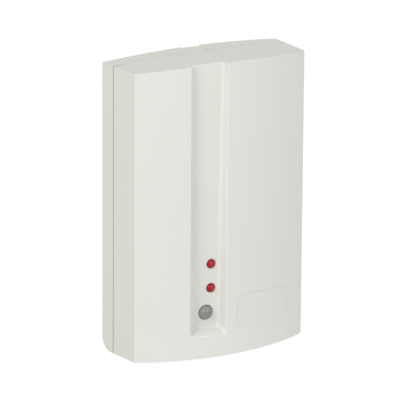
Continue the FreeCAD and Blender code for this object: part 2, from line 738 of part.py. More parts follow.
def groove_tool(name, inset):
    """The groove's room: leaning walls over a floor that falls back toward a sloping ledge."""
    body = new_body(name)
    low = f"(groove_end + {inset} * ledge_lean + ledge_slope * (past_front - lip_left))"
    level = new_sketch(body, name + "_level", role="XY_Plane", depth=f"-{low}")
    rear = "(top_left - groove_depth_end - 1)"
    places = []
    for edge, sign, depth in (("groove_left", "+", "lip_left"), ("groove_right", "-", "lip_right")):
        outer = f"-({edge} {sign} {inset} {sign} groove_lean * (past_front - {depth}))"
        inner = f"-({edge} {sign} {inset} {sign} groove_lean * ({rear} - {depth}))"
        places.append([(outer, "-past_front"), (inner, f"-({rear})")])
    add_loop(level, places[0] + places[1][::-1])
    raise_pad(body, level, f"past_top + {low}")
    ledge = new_sketch(body, name + "_ledge", role="YZ_Plane")
    step = lambda depth: f"-(groove_end + {inset} * ledge_lean + ledge_slope * ({depth} - lip_left))"
    add_loop(ledge, [
        (f"1 - {rear}", step(f"({rear} - 1)")), ("-past_front - 1", step("(past_front + 1)")),
        ("-past_front - 1", f"-{low} - 3"), (f"1 - {rear}", f"-{low} - 3")])
    cut_pocket(body, ledge, midplane=True)
    floor = new_sketch(body, name + "_floor", role="XY_Plane", depth="past_top")
    line = lambda x: f"-(top_left + floor_tilt * (groove_left - ({x})) - {inset})"
    behind = f"-({rear} - {inset} - 5)"
    far, near = "(groove_left + 9)", "(groove_right - 9)"
    add_loop(floor, [
        (f"-{far}", line(far)), (f"-{near}", line(near)), (f"-{near}", behind), (f"-{far}", behind)])
    doc.recompute()
    before = body.Shape.Volume
    slope = body.newObject("PartDesign::Pocket", name + "_floor_cut")
    slope.Profile = floor
    slope.UseCustomVector = True
    slope.AlongSketchNormal = True
    slope.Direction = Vector(0, 0.01, -1)
    bind(slope, "Direction.y", "groove_fall")
    bind(slope, "Length", f"past_top + {low} + 1")
    doc.recompute()
    if not slope.Shape.Volume < before:
        raise RuntimeError(slope.Name + " cuts nothing")
    deep_edge = lambda middle, edge: (
        middle.y > 0.5 - size("past_front") and not along(edge, UPWARD, 0.001)
        and (middle.z < -size("groove_end") / 2 or edge.Length > size("groove_end")))
    if inset == "0":
        round_edges(body, slope, deep_edge, "groove_corner", name + "_rounding")
    return body


# Circuit board: glass fibre laminate that rests on four posts and is screwed to two of them, with a bay at
# its lower edge that clears the wall screw.

def make_circuit_board():
    body = new_body("board_laminate")
    outline = new_sketch(body, "board_outline", depth="board_back", up="board_middle")
    add_box(outline, "board_wide", "board_tall")
    slab = raise_pad(body, outline, "board_thick")
    round_edges(body, slab, lambda middle, edge: along(edge, OUTWARD), "board_corner", "board_rounding")
    holes = new_sketch(body, "board_holes", depth="board_front")
    for index, (x, y) in enumerate(SCREWED_POSTS):
        add_circle(holes, "screw_hole", x, y, f"hole_{index}")
    cut_pocket(body, holes)
    bay = new_sketch(body, "board_bay", depth="board_front")
    add_box(bay, "board_notch", "board_bottom", "wall_hole_offset", "-wall_hole_height - board_bottom / 2")
    cut_pocket(body, bay)
    bay_end = new_sketch(body, "board_bay_end", depth="board_front")
    add_circle(bay_end, "board_notch", "wall_hole_offset", "-wall_hole_height")
    cut_pocket(body, bay_end)
    return finish("circuit_board", body)


# Two self-tapping pan head screws hold the board on opposite posts.

def make_board_screws():
    body = new_body("screws")
    heads = new_sketch(body, "screw_heads", depth="board_front")
    shanks = new_sketch(body, "screw_shanks", depth="board_front - screw_length")
    across = new_sketch(body, "screw_cross_level", depth="board_front + screw_head_tall")
    upright = new_sketch(body, "screw_cross_upright", depth="board_front + screw_head_tall")
    for index, (x, y) in enumerate(SCREWED_POSTS):
        add_circle(heads, "screw_head", x, y, f"head_{index}")
        add_circle(shanks, "screw_core", x, y, f"shank_{index}")
        add_box(across, "screw_cross", "screw_slot", x, y, f"level_{index}")
        add_box(upright, "screw_slot", "screw_cross", x, y, f"upright_{index}")
    raise_pad(body, shanks, "screw_length")
    raise_pad(body, heads, "screw_head_tall")
    cut_pocket(body, across, "screw_slot")
    cut_pocket(body, upright, "screw_slot")
    return finish("board_screws", body)


# Boxed parts that stand on the board, each a sealed moulding or can with rounded edges.

def block(name, wide, tall, deep, x, y, bevel=None, corners=None, lift="0"):
    """A box on the board; corners rounds the edges that stand up from it, bevel cuts the front ones."""
    body = new_body(name + "_body")
    base = new_sketch(body, name + "_base", depth=f"board_front + {lift}", across=x, up=y)
    add_box(base, wide, tall)
    last = raise_pad(body, base, deep)
    doc.recompute()
    if corners:
        last = round_edges(body, last, lambda middle, edge: along(edge, OUTWARD), corners, name + "_corners")
    if bevel:
        front = last.Shape.BoundBox.YMin
        rim = lambda middle, edge: middle.y < front + 0.01
        round_edges(body, last, rim, bevel, name + "_rim", kind="PartDesign::Chamfer")
    return body


def make_relays():
    for index in (1, 2):
        x = f"relay_pitch * {index - 1} - relay_first"
        relay = block(f"relay_{index}", "relay_wide", "relay_tall", "relay_deep", x, "relay_height",
                      corners="case_round")
        finish(f"relay_{index}", relay)


def make_radio_section():
    shield = block("shield", "shield_wide", "shield_tall", "shield_deep", "shield_offset", "-shield_drop")
    finish("radio_shield", shield)
    crystal = block("crystal", "crystal_wide", "crystal_tall", "crystal_deep", "crystal_offset",
                    "-crystal_drop", corners="crystal_tall * 0.48")
    rim = new_sketch(crystal, "crystal_rim", depth="board_front", across="crystal_offset", up="-crystal_drop")
    add_box(rim, "crystal_wide + 2 * crystal_flange", "crystal_tall + 2 * crystal_flange")
    raise_pad(crystal, rim, "crystal_flange")
    finish("crystal", crystal)


# Antenna: one stiff wire that rises from the board beside the shield, bends, and runs down in front of it.

def make_antenna_wire():
    names = ("wire_leg_part", "wire_bend_part", "wire_run_part")
    leg, bend, run = [doc.addObject("Part::Cylinder", name) for name in names]
    leg.Placement.Rotation = FreeCAD.Rotation(UPWARD, OUTWARD)
    bind(leg, "Height", "wire_rise - wire_bend")
    bend.Placement.Rotation = FreeCAD.Rotation(UPWARD, OUTWARD - UPWARD)
    bind(bend, "Height", "wire_bend * sqrt(2)")
    bind(bend, "Placement.Base.y", "wire_bend - wire_rise")
    bind(run, "Height", "wire_run")
    bind(run, "Placement.Base.y", "-wire_rise")
    bind(run, "Placement.Base.z", "-wire_bend - wire_run")
    for length in (leg, bend, run):
        bind(length, "Radius", "wire_width / 2")
    antenna = doc.addObject("Part::MultiFuse", "antenna")
    antenna.Shapes = [leg, bend, run]
    bind(antenna, "Placement.Base.x", "wire_offset")
    bind(antenna, "Placement.Base.y", "-board_front")
    bind(antenna, "Placement.Base.z", "wire_height")
    finish("antenna_wire", antenna)


# Supply parts: an aluminium can capacitor and a regulator that is soldered down by its tab.

def make_supply_parts():
    can = new_body("can")
    wall = new_sketch(can, "can_wall", depth="board_front", across="-can_offset", up="can_height")
    add_circle(wall, "can_width")
    shell = raise_pad(can, wall, "can_tall")
    doc.recompute()
    front = can.Shape.BoundBox.YMin
    rim = lambda middle, edge: middle.y < front + 0.01
    round_edges(can, shell, rim, "can_round", "can_rim", kind="PartDesign::Chamfer")
    finish("supply_capacitor", can)

    regulator = block("regulator", "regulator_wide", "regulator_tall", "regulator_deep", "regulator_offset",
                      "regulator_height", bevel="case_bevel")
    tab = new_sketch(regulator, "regulator_tab", depth="board_front", across="regulator_offset",
                     up="regulator_height + (regulator_tall + regulator_tab_out) / 2")
    add_box(tab, "regulator_wide - 1.2", "regulator_tab_out")
    raise_pad(regulator, tab, "regulator_tab")
    leads = new_sketch(regulator, "regulator_leads", depth="board_front", across="regulator_offset",
                       up="regulator_height - (regulator_tall + regulator_lead_out) / 2")
    for index, side in enumerate(("-", "")):
        add_box(leads, "regulator_lead", "regulator_lead_out", f"{side}regulator_lead_pitch", "0",
                f"lead_{index}")
    raise_pad(regulator, leads, "regulator_tab * 2")
    finish("voltage_regulator", regulator)


# Two diodes across the relay coils, lying on the board on bent leads.

def make_relay_diodes():
    body = new_body("diodes")
    axis = "board_front + diode_width / 2 + diode_lift"
    for index in (0, 1):
        x = f"relay_pitch * {index} - relay_first"
        place = {"role": "YZ_Plane", "across": f"-({axis})", "up": "-diode_drop"}
        barrel = new_sketch(body, f"diode_barrel_{index}", depth=f"{x} - diode_long / 2", **place)
        add_circle(barrel, "diode_width")
        raise_pad(body, barrel, "diode_long")
        wire = new_sketch(body, f"diode_wire_{index}", depth=f"{x} - diode_reach / 2", **place)
        add_box(wire, "diode_lead", "diode_lead")
        raise_pad(body, wire, "diode_reach")
        legs = new_sketch(body, f"diode_legs_{index}", depth="board_front", across=x, up="-diode_drop")
        for side, sign in enumerate(("-", "")):
            add_box(legs, "diode_lead", "diode_lead", f"{sign}(diode_reach - diode_lead) / 2", "0",
                    f"leg_{side}")
        raise_pad(body, legs, "diode_width / 2 + diode_lift")
    finish("relay_diodes", body)


# Logic: a microcontroller in a small outline case, relay driver transistors, and a column of chip resistors.

def make_logic_parts():
    chip = block("chip", "chip_wide", "chip_tall", "chip_deep", "chip_offset", "-chip_drop",
                 bevel="case_bevel", lift="chip_lift")
    leads = new_sketch(chip, "chip_leads", depth="board_front", across="chip_offset", up="-chip_drop")
    for side, sign in enumerate(("-", "")):
        for index in range(10):
            x = f"{sign}(chip_wide + chip_lead_out) / 2"
            add_box(leads, "chip_lead_out", "chip_lead_wide", x, f"chip_lead_pitch * ({index} - 4.5)",
                    f"lead_{side}_{index}")
    raise_pad(chip, leads, "chip_lead_tall")
    finish("microcontroller", chip)

    drivers = new_body("drivers")
    cases = new_sketch(drivers, "driver_cases", depth="board_front", up="-driver_drop")
    feet = new_sketch(drivers, "driver_feet", depth="board_front", up="-driver_drop")
    for index in (0, 1):
        x = f"-(driver_offset - driver_pitch * {index})"
        add_box(cases, "driver_wide", "driver_tall", x, "0", f"case_{index}")
        for foot, (side, row) in enumerate(((-1, -1), (1, -1), (0, 1))):
            add_box(feet, "driver_foot", "driver_foot_out", f"{x} + {side} * driver_foot_pitch",
                    f"{row} * (driver_tall + driver_foot_out) / 2", f"foot_{index}_{foot}")
    raise_pad(drivers, cases, "driver_deep")
    raise_pad(drivers, feet, "driver_deep / 2")
    finish("driver_transistors", drivers)

    resistors = new_body("resistors")
    row = new_sketch(resistors, "resistor_rows_outline", depth="board_front", across="-resistor_offset")
    for index in range(int(size("resistor_rows"))):
        add_box(row, "resistor_wide", "resistor_tall", "0", f"-(resistor_first + {index} * resistor_pitch)",
                f"resistor_{index}")
    raise_pad(resistors, row, "resistor_deep")
    finish("chip_resistors", resistors)


# Screw terminals: four blocks in a row along the top of the board. Each pole has a wire entry that faces up,
# a clamp plate inside it and a slotted screw in a round well.

def pole_x(pole):
    return f"pole_pitch * ({pole} - {(POLES - 1) / 2})"


def make_terminals():
    first = 0
    for name, poles in TERMINAL_BLOCKS.items():
        count = len(poles)
        body = new_body(name + "_body")
        side = new_sketch(body, name + "_side", role="YZ_Plane", depth=f"{pole_x(first)} - pole_pitch / 2")
        add_terminal_side(side)
        raise_pad(body, side, f"pole_pitch * {count}")
        wells = new_sketch(body, name + "_wells", depth="terminal_front")
        entries = new_sketch(body, name + "_entries", role="XY_Plane", depth="terminal_high")
        for pole in range(first, first + count):
            add_circle(wells, "terminal_well", pole_x(pole), "terminal_row", f"well_{pole}")
            add_box(entries, "wire_entry", "wire_entry", pole_x(pole), "-entry_middle", f"entry_{pole}")
        cut_pocket(body, wells, "terminal_well_deep")
        cut_pocket(body, entries, "wire_entry_deep")
        finish(name, body)
        first += count

    screws = new_body("pole_screws")
    rounds = new_sketch(screws, "pole_screw_rounds", depth="terminal_front - terminal_well_deep")
    slots = new_sketch(screws, "pole_screw_slots",
                       depth="terminal_front - terminal_well_deep + terminal_screw_tall")
    clamps = new_body("clamps")
    plates = new_sketch(clamps, "clamp_plates", role="XY_Plane", depth="terminal_high - wire_entry_deep")
    for pole in range(POLES):
        add_circle(rounds, "terminal_screw", pole_x(pole), "terminal_row", f"screw_{pole}")
        add_box(slots, "terminal_screw + 1", "terminal_slot", pole_x(pole), "terminal_row", f"slot_{pole}")
        add_box(plates, "wire_entry - 2 * clamp_clearance", "wire_entry - 2 * clamp_clearance", pole_x(pole),
                "-entry_middle", f"plate_{pole}")
    raise_pad(screws, rounds, "terminal_screw_tall")
    cut_pocket(screws, slots, "terminal_slot_deep")
    finish("terminal_screws", screws)
    raise_pad(clamps, plates, "clamp_thick")
    finish("terminal_clamps", clamps)


def add_terminal_side(sketch):
    """Side view of a block: square at the board, with its front corner cut back over the wire entries."""
    add_loop(sketch, [
        ("-board_front", "terminal_low"), ("-board_front", "terminal_high"),
        ("terminal_slant_tall - terminal_front", "terminal_high"),
        ("-terminal_front", "terminal_high - terminal_slant"), ("-terminal_front", "terminal_low")])


# Indicator lamps: domed lenses on long leads that reach through the holes in the groove's floor.

def make_lamps():
    lamps = [
        ("relay_1_light", "light", "light_offset", "light_drop", "light_1_floor"),
        ("relay_2_light", "light", "light_offset", "(light_drop + light_pitch)", "light_2_floor"),
        ("status_light", "status", "status_offset", "status_drop", "status_light_floor")]
    for name, kind, offset, drop, floor in lamps:
        body = new_body(name + "_lamp")
        root = f"{floor} - lens_sink + {kind}_lens / 2 - {kind}_tall"
        profile = new_sketch(body, name + "_profile", role="XY_Plane", depth=f"-{drop}",
                             across=f"-{offset}")
        add_lamp_profile(profile, kind, root)
        turned = body.newObject("PartDesign::Revolution", name + "_turned")
        turned.Profile = profile
        turned.ReferenceAxis = (profile, ["V_Axis"])
        leads = new_sketch(body, name + "_leads", depth="board_front", across=f"-{offset}", up=f"-{drop}")
        for index, sign in enumerate(("-", "")):
            add_box(leads, "lead_thick", "lead_thick", f"{sign}lead_pitch / 2", "0", f"lead_{index}")
        raise_pad(body, leads, f"{root} - board_front")
        finish(name, body)


def add_lamp_profile(sketch, kind, root):
    """Half a lamp's outline: a flange, a straight barrel and a dome that is a half ball."""
    radius = size(kind + "_lens") / 2
    rim = size(kind + "_flange") / 2
    back = -value_of(root)
    step = back - size("flange_thick")
    tip = back - size(kind + "_tall")
    points = [Vector(0, tip, 0), Vector(radius, tip + radius, 0), Vector(radius, step, 0),
              Vector(rim, step, 0), Vector(rim, back, 0), Vector(0, back, 0)]
    circle = Part.Circle(Vector(0, tip + radius, 0), Vector(0, 0, 1), radius)
    dome = sketch.addGeometry(Part.ArcOfCircle(circle, -math.pi / 2, 0), False)
    lines = [sketch.addGeometry(Part.LineSegment(points[index], points[(index + 1) % 6]), False)
             for index in range(1, 6)]
    for line, following in zip([dome] + lines, lines + [dome]):
        sketch.addConstraint(Sketcher.Constraint("Coincident", line, 2, following, 1))
    for line, way in zip(lines, ("Vertical", "Horizontal", "Vertical", "Horizontal")):
        sketch.addConstraint(Sketcher.Constraint(way, line))
    sketch.addConstraint(Sketcher.Constraint("PointOnObject", dome, 3, -2))
    sketch.addConstraint(Sketcher.Constraint("PointOnObject", dome, 1, -2))
    sketch.addConstraint(Sketcher.Constraint("PointOnObject", lines[4], 1, -2))
    sketch.addConstraint(Sketcher.Constraint("Horizontal", dome, 3, dome, 2))
    measure(sketch, "DistanceX", (-1, 1, lines[2], 1, rim), f"{kind}_flange / 2", "flange")
    measure(sketch, "DistanceY", (-1, 1, lines[4], 1, back), f"-({root})", "back")
    measure(sketch, "DistanceY", (-1, 1, lines[1], 1, step), f"-({root} + flange_thick)", "step")
    measure(sketch, "DistanceY", (-1, 1, dome, 1, tip), f"-({root} + {kind}_tall)", "tip")
    shoulder = f"-({root} + {kind}_tall - {kind}_lens / 2)"
    measure(sketch, "DistanceY", (-1, 1, dome, 3, tip + radius), shoulder, "shoulder")


# Tamper switch and its plunger, which the post inside the cover holds down.

def make_tamper_switch():
    body = block("tamper", "tamper_wide", "tamper_tall", "tamper_deep", "-switch_offset", "-tamper_drop")
    well = new_sketch(body, "plunger_well", depth="board_front + tamper_deep", across="-switch_offset",
                      up="-tamper_drop")
    add_box(well, "plunger_wide + 2 * slide_clearance", "plunger_tall + 2 * slide_clearance")
    cut_pocket(body, well, "plunger_in + plunger_travel + well_spare")
    finish("tamper_switch", body)
    plunger = new_body("plunger")
    stem = new_sketch(plunger, "plunger_stem", depth="plunger_top - plunger_out - plunger_in",
                      across="-switch_offset", up="-tamper_drop")
    add_box(stem, "plunger_wide", "plunger_tall")
    pad = raise_pad(plunger, stem, "plunger_out + plunger_in")
    doc.recompute()
    tip = plunger.Shape.BoundBox.YMin
    edge_of_tip = lambda middle, edge: middle.y < tip + 0.01 and along(edge, ACROSS)
    round_edges(plunger, pad, edge_of_tip, "plunger_round", "plunger_rounding")
    finish("tamper_plunger", plunger)


# Learn switch: a square push switch with a round button.

def make_learn_switch():
    body = block("learn", "learn_wide", "learn_wide", "learn_deep", "-switch_offset", "-learn_drop")
    well = new_sketch(body, "button_well", depth="learn_front", across="-switch_offset", up="-learn_drop")
    add_circle(well, "button_width + 2 * slide_clearance")
    cut_pocket(body, well, "button_in + button_travel + well_spare")
    finish("learn_switch", body)
    button = new_body("button")
    stem = new_sketch(button, "button_stem", depth="learn_front - button_in", across="-switch_offset",
                      up="-learn_drop")
    add_circle(stem, "button_width")
    raise_pad(button, stem, "button_in + button_out")
    finish("learn_button", button)


# Setting pins: three pairs of pins in a moulded strip, with two push-on caps.

PIN_ROWS = (-1, 0, 1)
CAPPED_ROWS = (-1, 1)


def add_pins(sketch, rows):
    for row in rows:
        for side, sign in enumerate(("-", "")):
            add_box(sketch, "pin_thick", "pin_thick", f"{sign}pin_pitch / 2", f"{row} * pin_pitch",
                    f"pin_{row + 1}_{side}")


def make_setting_pins():
    place = {"across": "-switch_offset", "up": "pins_height"}
    strip = block("pin_strip", "2 * pin_pitch", f"{len(PIN_ROWS)} * pin_pitch", "pin_block_deep",
                  "-switch_offset", "pins_height")
    holes = new_sketch(strip, "pin_holes", depth="board_front + pin_block_deep", **place)
    add_pins(holes, PIN_ROWS)
    cut_pocket(strip, holes)
    finish("setting_pin_strip", strip)
    pins = new_body("pins")
    squares = new_sketch(pins, "pin_squares", depth="board_front", **place)
    add_pins(squares, PIN_ROWS)
    raise_pad(pins, squares, "pin_out")
    finish("setting_pins", pins)
    caps = new_body("caps")
    shells = new_sketch(caps, "cap_shells", depth="board_front + pin_block_deep", **place)
    for row in CAPPED_ROWS:
        add_box(shells, "2 * pin_pitch - cap_gap", "cap_thick", "0", f"{row} * pin_pitch", f"cap_{row + 1}")
    raise_pad(caps, shells, "cap_deep")
    bores = new_sketch(caps, "cap_bores", depth="board_front + pin_block_deep + cap_deep", **place)
    add_pins(bores, CAPPED_ROWS)
    cut_pocket(caps, bores)
    finish("setting_caps", caps)


def check_and_write():
    """Stops on any failed feature or bad shape, then writes one file for each sub-part."""
    doc.recompute()
    for item in doc.Objects:
        if "Invalid" in item.State or "Error" in item.State:
            raise RuntimeError(f"{item.Name} failed: {item.State}")
    for piece in PIECES:
        if piece.Shape.isNull() or not piece.Shape.isValid() or not piece.Shape.Solids:
            raise RuntimeError(piece.Label + " has no valid solid")
    os.makedirs("parts", exist_ok=True)
    for piece in PIECES:
        piece.Shape.exportStep(f"parts/{piece.Label}.step")
        print(f"{piece.Label}: {len(piece.Shape.Solids)} solid(s), {piece.Shape.Volume:.1f} mm3")


make_rear_base()
make_front_cover()
make_circuit_board()
make_board_screws()
make_relays()
make_radio_section()
make_antenna_wire()
make_supply_parts()
make_relay_diodes()
make_logic_parts()
make_terminals()
make_lamps()
make_tamper_switch()
make_learn_switch()
make_setting_pins()
check_and_write()
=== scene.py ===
import math

import bmesh
import bpy
from mathutils import Matrix, Vector


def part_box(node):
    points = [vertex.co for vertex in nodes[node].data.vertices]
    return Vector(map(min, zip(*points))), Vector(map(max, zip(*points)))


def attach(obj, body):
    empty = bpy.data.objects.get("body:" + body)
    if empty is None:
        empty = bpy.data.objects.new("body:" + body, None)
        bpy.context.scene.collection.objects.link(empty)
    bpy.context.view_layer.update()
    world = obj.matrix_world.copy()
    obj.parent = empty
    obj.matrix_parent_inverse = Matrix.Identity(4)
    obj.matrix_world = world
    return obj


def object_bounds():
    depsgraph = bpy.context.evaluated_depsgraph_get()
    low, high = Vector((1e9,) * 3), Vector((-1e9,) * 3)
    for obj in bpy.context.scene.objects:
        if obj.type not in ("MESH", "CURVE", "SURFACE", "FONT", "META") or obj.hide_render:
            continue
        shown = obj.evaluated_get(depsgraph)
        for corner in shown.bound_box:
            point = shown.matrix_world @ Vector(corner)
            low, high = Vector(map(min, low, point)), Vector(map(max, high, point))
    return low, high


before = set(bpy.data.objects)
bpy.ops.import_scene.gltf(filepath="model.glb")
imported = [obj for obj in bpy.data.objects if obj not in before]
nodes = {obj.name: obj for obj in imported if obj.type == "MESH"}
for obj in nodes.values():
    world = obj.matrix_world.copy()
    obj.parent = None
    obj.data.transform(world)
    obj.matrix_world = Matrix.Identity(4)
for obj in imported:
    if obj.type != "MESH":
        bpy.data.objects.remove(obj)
cad_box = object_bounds()
scene = bpy.context.scene


# Housing: the rear base and the front cover are injection moulded from one off-white styrene, with a fine satin
# grain from the mould. The base screws to the wall and the cover snaps over its tongue. The side seams are painted
# a little grey, as painted shade in the gap between the two parts.

class Wire:
    """A shader socket that takes part in arithmetic: each operation adds its own Math node."""

    def __init__(self, paint, socket):
        self.paint = paint
        self.socket = socket

    def maths(self, operation, *values):
        return self.paint.node("ShaderNodeMath", {"operation": operation}, dict(enumerate(values)))

    def __add__(self, other):
        return self.maths("ADD", self, other)

    def __radd__(self, other):
        return self.maths("ADD", other, self)

    def __sub__(self, other):
        return self.maths("SUBTRACT", self, other)

    def __rsub__(self, other):
        return self.maths("SUBTRACT", other, self)

    def __mul__(self, other):
        return self.maths("MULTIPLY", self, other)

    def __rmul__(self, other):
        return self.maths("MULTIPLY", other, self)

    def __truediv__(self, other):
        return self.maths("DIVIDE", self, other)

    def __pow__(self, other):
        return self.maths("POWER", self, other)

    def __mod__(self, other):
        return self.maths("FLOORED_MODULO", self, other)

    def __lt__(self, other):
        return self.maths("LESS_THAN", self, other)

    def __gt__(self, other):
        return self.maths("GREATER_THAN", self, other)

    def __abs__(self):
        return self.maths("ABSOLUTE", self)

    def __or__(self, other):
        """The larger of two, which joins masks."""
        return self.maths("MAXIMUM", self, other)

    def rise(self, start, end):
        """Goes smoothly from 0 to 1 while the value goes from start to end."""
        limits = {"Value": self, "From Min": start, "From Max": end}
        return self.paint.node("ShaderNodeMapRange", {"interpolation_type": "SMOOTHSTEP"}, limits)


class Paint:
    """A material that is built up node by node round its Principled shader."""

    def __init__(self, name, **constants):
        self.material = bpy.data.materials.new(name)
        self.material.use_nodes = True
        self.tree = self.material.node_tree
        self.shader = self.tree.nodes["Principled BSDF"]
        for socket, value in constants.items():
            self.shader.inputs[socket.replace("_", " ")].default_value = value

    def node(self, kind, settings=None, inputs=None, output=0):
        """Adds a node: settings are its own properties, inputs its sockets by name or number."""
        made = self.tree.nodes.new(kind)
        for name, value in (settings or {}).items():
            setattr(made, name, value)
        for name, value in (inputs or {}).items():
            self.feed(made.inputs[name], value)
        return Wire(self, made.outputs[output])

    def feed(self, socket, value):
        if isinstance(value, Wire):
            self.tree.links.new(value.socket, socket)
        else:
            socket.default_value = value

    def axes(self, vector="Object"):
        """The point in millimetres, as right, out from the wall, and up; or the surface's normal."""
        spot = self.node("ShaderNodeTexCoord", output=vector)
        parts = [self.node("ShaderNodeSeparateXYZ", {}, {"Vector": spot}, output=index) for index in range(3)]
        scale = 1000 if vector == "Object" else 1
        return parts[0] * scale, parts[1] * -scale, parts[2] * scale

    def noise(self, scale, detail=2.0, roughness=0.5, stretch=(1, 1, 1)):
        """Noise in the piece's own space, where stretch thins it along an axis."""
        spot = self.node("ShaderNodeTexCoord", output="Object")
        spot = self.node("ShaderNodeMapping", {}, {"Vector": spot, "Scale": stretch})
        inputs = {"Vector": spot, "Scale": scale, "Detail": detail, "Roughness": roughness}
        return self.node("ShaderNodeTexNoise", {}, inputs)

    def blend(self, factor, first, second):
        """One colour turning into another as the factor goes from 0 to 1."""
        return self.node("ShaderNodeMix", {"data_type": "RGBA"}, {0: factor, 6: first, 7: second}, output=2)

    def bump(self, height, distance, strength=1.0):
        inputs = {"Height": height, "Distance": distance, "Strength": strength}
        self.feed(self.shader.inputs["Normal"], self.node("ShaderNodeBump", {}, inputs))

    def show(self, **values):
        """Feeds varying values to the Principled shader."""
        for socket, value in values.items():
            self.feed(self.shader.inputs[socket.replace("_", " ")], value)
        return self.material


def dress(names, material):
    """Gives carried-over CAD pieces a finish."""
    for name in names:
        for slot in nodes[name].material_slots:
            slot.material = material


def soften(names, width=0.0, segments=3):
    """Shades CAD pieces evenly and, given a width in millimetres, rolls their sharp edges by a hair, as a mould or
    a press leaves them; with no width it only splits the shading at the sharp edges."""
    for name in names:
        thing = nodes[name]
        weld = thing.modifiers.new("weld", "WELD")
        weld.merge_threshold = 2e-6
        if width:
            roll = thing.modifiers.new("roll", "BEVEL")
            roll.width = width / 1000
            roll.segments = segments
            roll.limit_method = "ANGLE"
            roll.angle_limit = math.radians(30)
        else:
            split = thing.modifiers.new("split", "EDGE_SPLIT")
            split.split_angle = math.radians(35)
        thing.modifiers.new("even", "WEIGHTED_NORMAL")
        for face in thing.data.polygons:
            face.use_smooth = True


housing = Paint("housing_white", IOR=1.5)
grain = housing.noise(5200.0, 2.0, 0.6)
flow = housing.noise(30.0, 2.0, 0.5, (1, 1, 0.3))
mould_white = housing.blend(flow, (0.730, 0.740, 0.700, 1), (0.752, 0.759, 0.724, 1))
x, depth, z = housing.axes()
# Painted shade: the walls inside the side seams' gap are painted grey, where shade falls between base and cover.
painted_seam_shade = (depth > 5.9) * (depth < 6.3) * (abs(housing.axes("Normal")[1]) > 0.5) * (abs(x) > 28.0)
mould_white = housing.blend(painted_seam_shade * (0.6 + 0.4 * flow), mould_white, (0.46, 0.45, 0.42, 1))
housing.bump(grain, 0.00002, 0.3)
housing.show(Base_Color=mould_white, Roughness=0.42 + 0.12 * grain + 0.05 * flow)
dress(["rear_base", "front_cover"], housing.material)
soften(["front_cover", "rear_base"])


# Ejector marks: the round witness marks that the mould's pins leave on the inside of the base, each a shallow
# ring round a faintly raised disc.

def turned(x, z, profile, count=24):
    """A ring of faces round an axis that points out from the wall: profile is pairs of radius and depth in
    millimetres, and is closed where it begins and ends at one place."""
    closed = profile[0] == profile[-1]
    rows = profile[:-1] if closed else profile
    points = [(x + r * math.cos(2 * math.pi * i / count), depth, z + r * math.sin(2 * math.pi * i / count))
              for r, depth in rows for i in range(count)]
    faces = []
    for row in range(len(rows) if closed else len(rows) - 1):
        below = row * count
        above = (row + 1) % len(rows) * count
        faces += [(below + i, below + (i + 1) % count, above + (i + 1) % count, above + i) for i in range(count)]
    if not closed:
        faces += [tuple(range(count)), tuple(range(len(points) - count, len(points)))]
    return points, faces


def plate(outline, low, high):
    """A flat form in millimetres: pairs of right and up, between two depths in front of the wall."""
    count = len(outline)
    points = [(x, depth, z) for depth in (low, high) for x, z in outline]
    sides = [(i, (i + 1) % count, (i + 1) % count + count, i + count) for i in range(count)]
    return points, sides + [tuple(range(count)), tuple(range(count, 2 * count))]


def oblong(x, z, wide, tall, corner=0.0, steps=4):
    """The outline of a rectangle about its middle, with round corners if asked."""
    outline = []
    for number, (across, up) in enumerate(((1, 1), (-1, 1), (-1, -1), (1, -1))):
        middle = (x + across * (wide / 2 - corner), z + up * (tall / 2 - corner))
        for step in range(steps + 1 if corner else 1):
            turn = math.pi / 2 * (number + step / steps)
            outline.append((middle[0] + corner * math.cos(turn), middle[1] + corner * math.sin(turn)))
    return outline


def add_piece(name, forms, material, body="base", smooth=40):
    """Makes one object of several forms, gives it its finish and hangs it on a body."""
    work = bmesh.new()
    for points, faces in forms:
        made = [work.verts.new((x / 1000, -depth / 1000, z / 1000)) for x, depth, z in points]
        for face in faces:
            work.faces.new([made[index] for index in face])
    bmesh.ops.recalc_face_normals(work, faces=work.faces)
    for face in work.faces:
        face.smooth = True
    for edge in work.edges:
        edge.smooth = edge.calc_face_angle(0.0) < math.radians(smooth)
    mesh = bpy.data.meshes.new(name)
    work.to_mesh(mesh)
    mesh.materials.append(material)
    thing = bpy.data.objects.new(name, mesh)
    scene.collection.objects.link(thing)
    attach(thing, body)
    return thing


def span(node):
    """Middle and size of a CAD node in millimetres, as right, out from the wall, and up."""
    low, high = [Vector(corner) * 1000 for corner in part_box(node)]
    middle = (low + high) / 2
    return (middle.x, -middle.y, middle.z), (high.x - low.x, high.y - low.y, high.z - low.z)


plate_front = 2.0
marks = []
for x, z in ((-21, -8), (21, 2), (-2, 20), (-12, -38), (14, -22), (2, -6)):
    marks.append(turned(x, z, [(1.7, plate_front), (1.7, plate_front + 0.05), (1.45, plate_front + 0.07),
                               (1.4, plate_front + 0.02), (0.2, plate_front + 0.02)]))
add_piece("ejector_marks", marks, housing.material)


# Relay lamps: two lamps of red epoxy, each cast in one piece round two tinned leads, unlit. Their domes are
# painted lighter in the middle and darker at the rim, as painted light and shade.

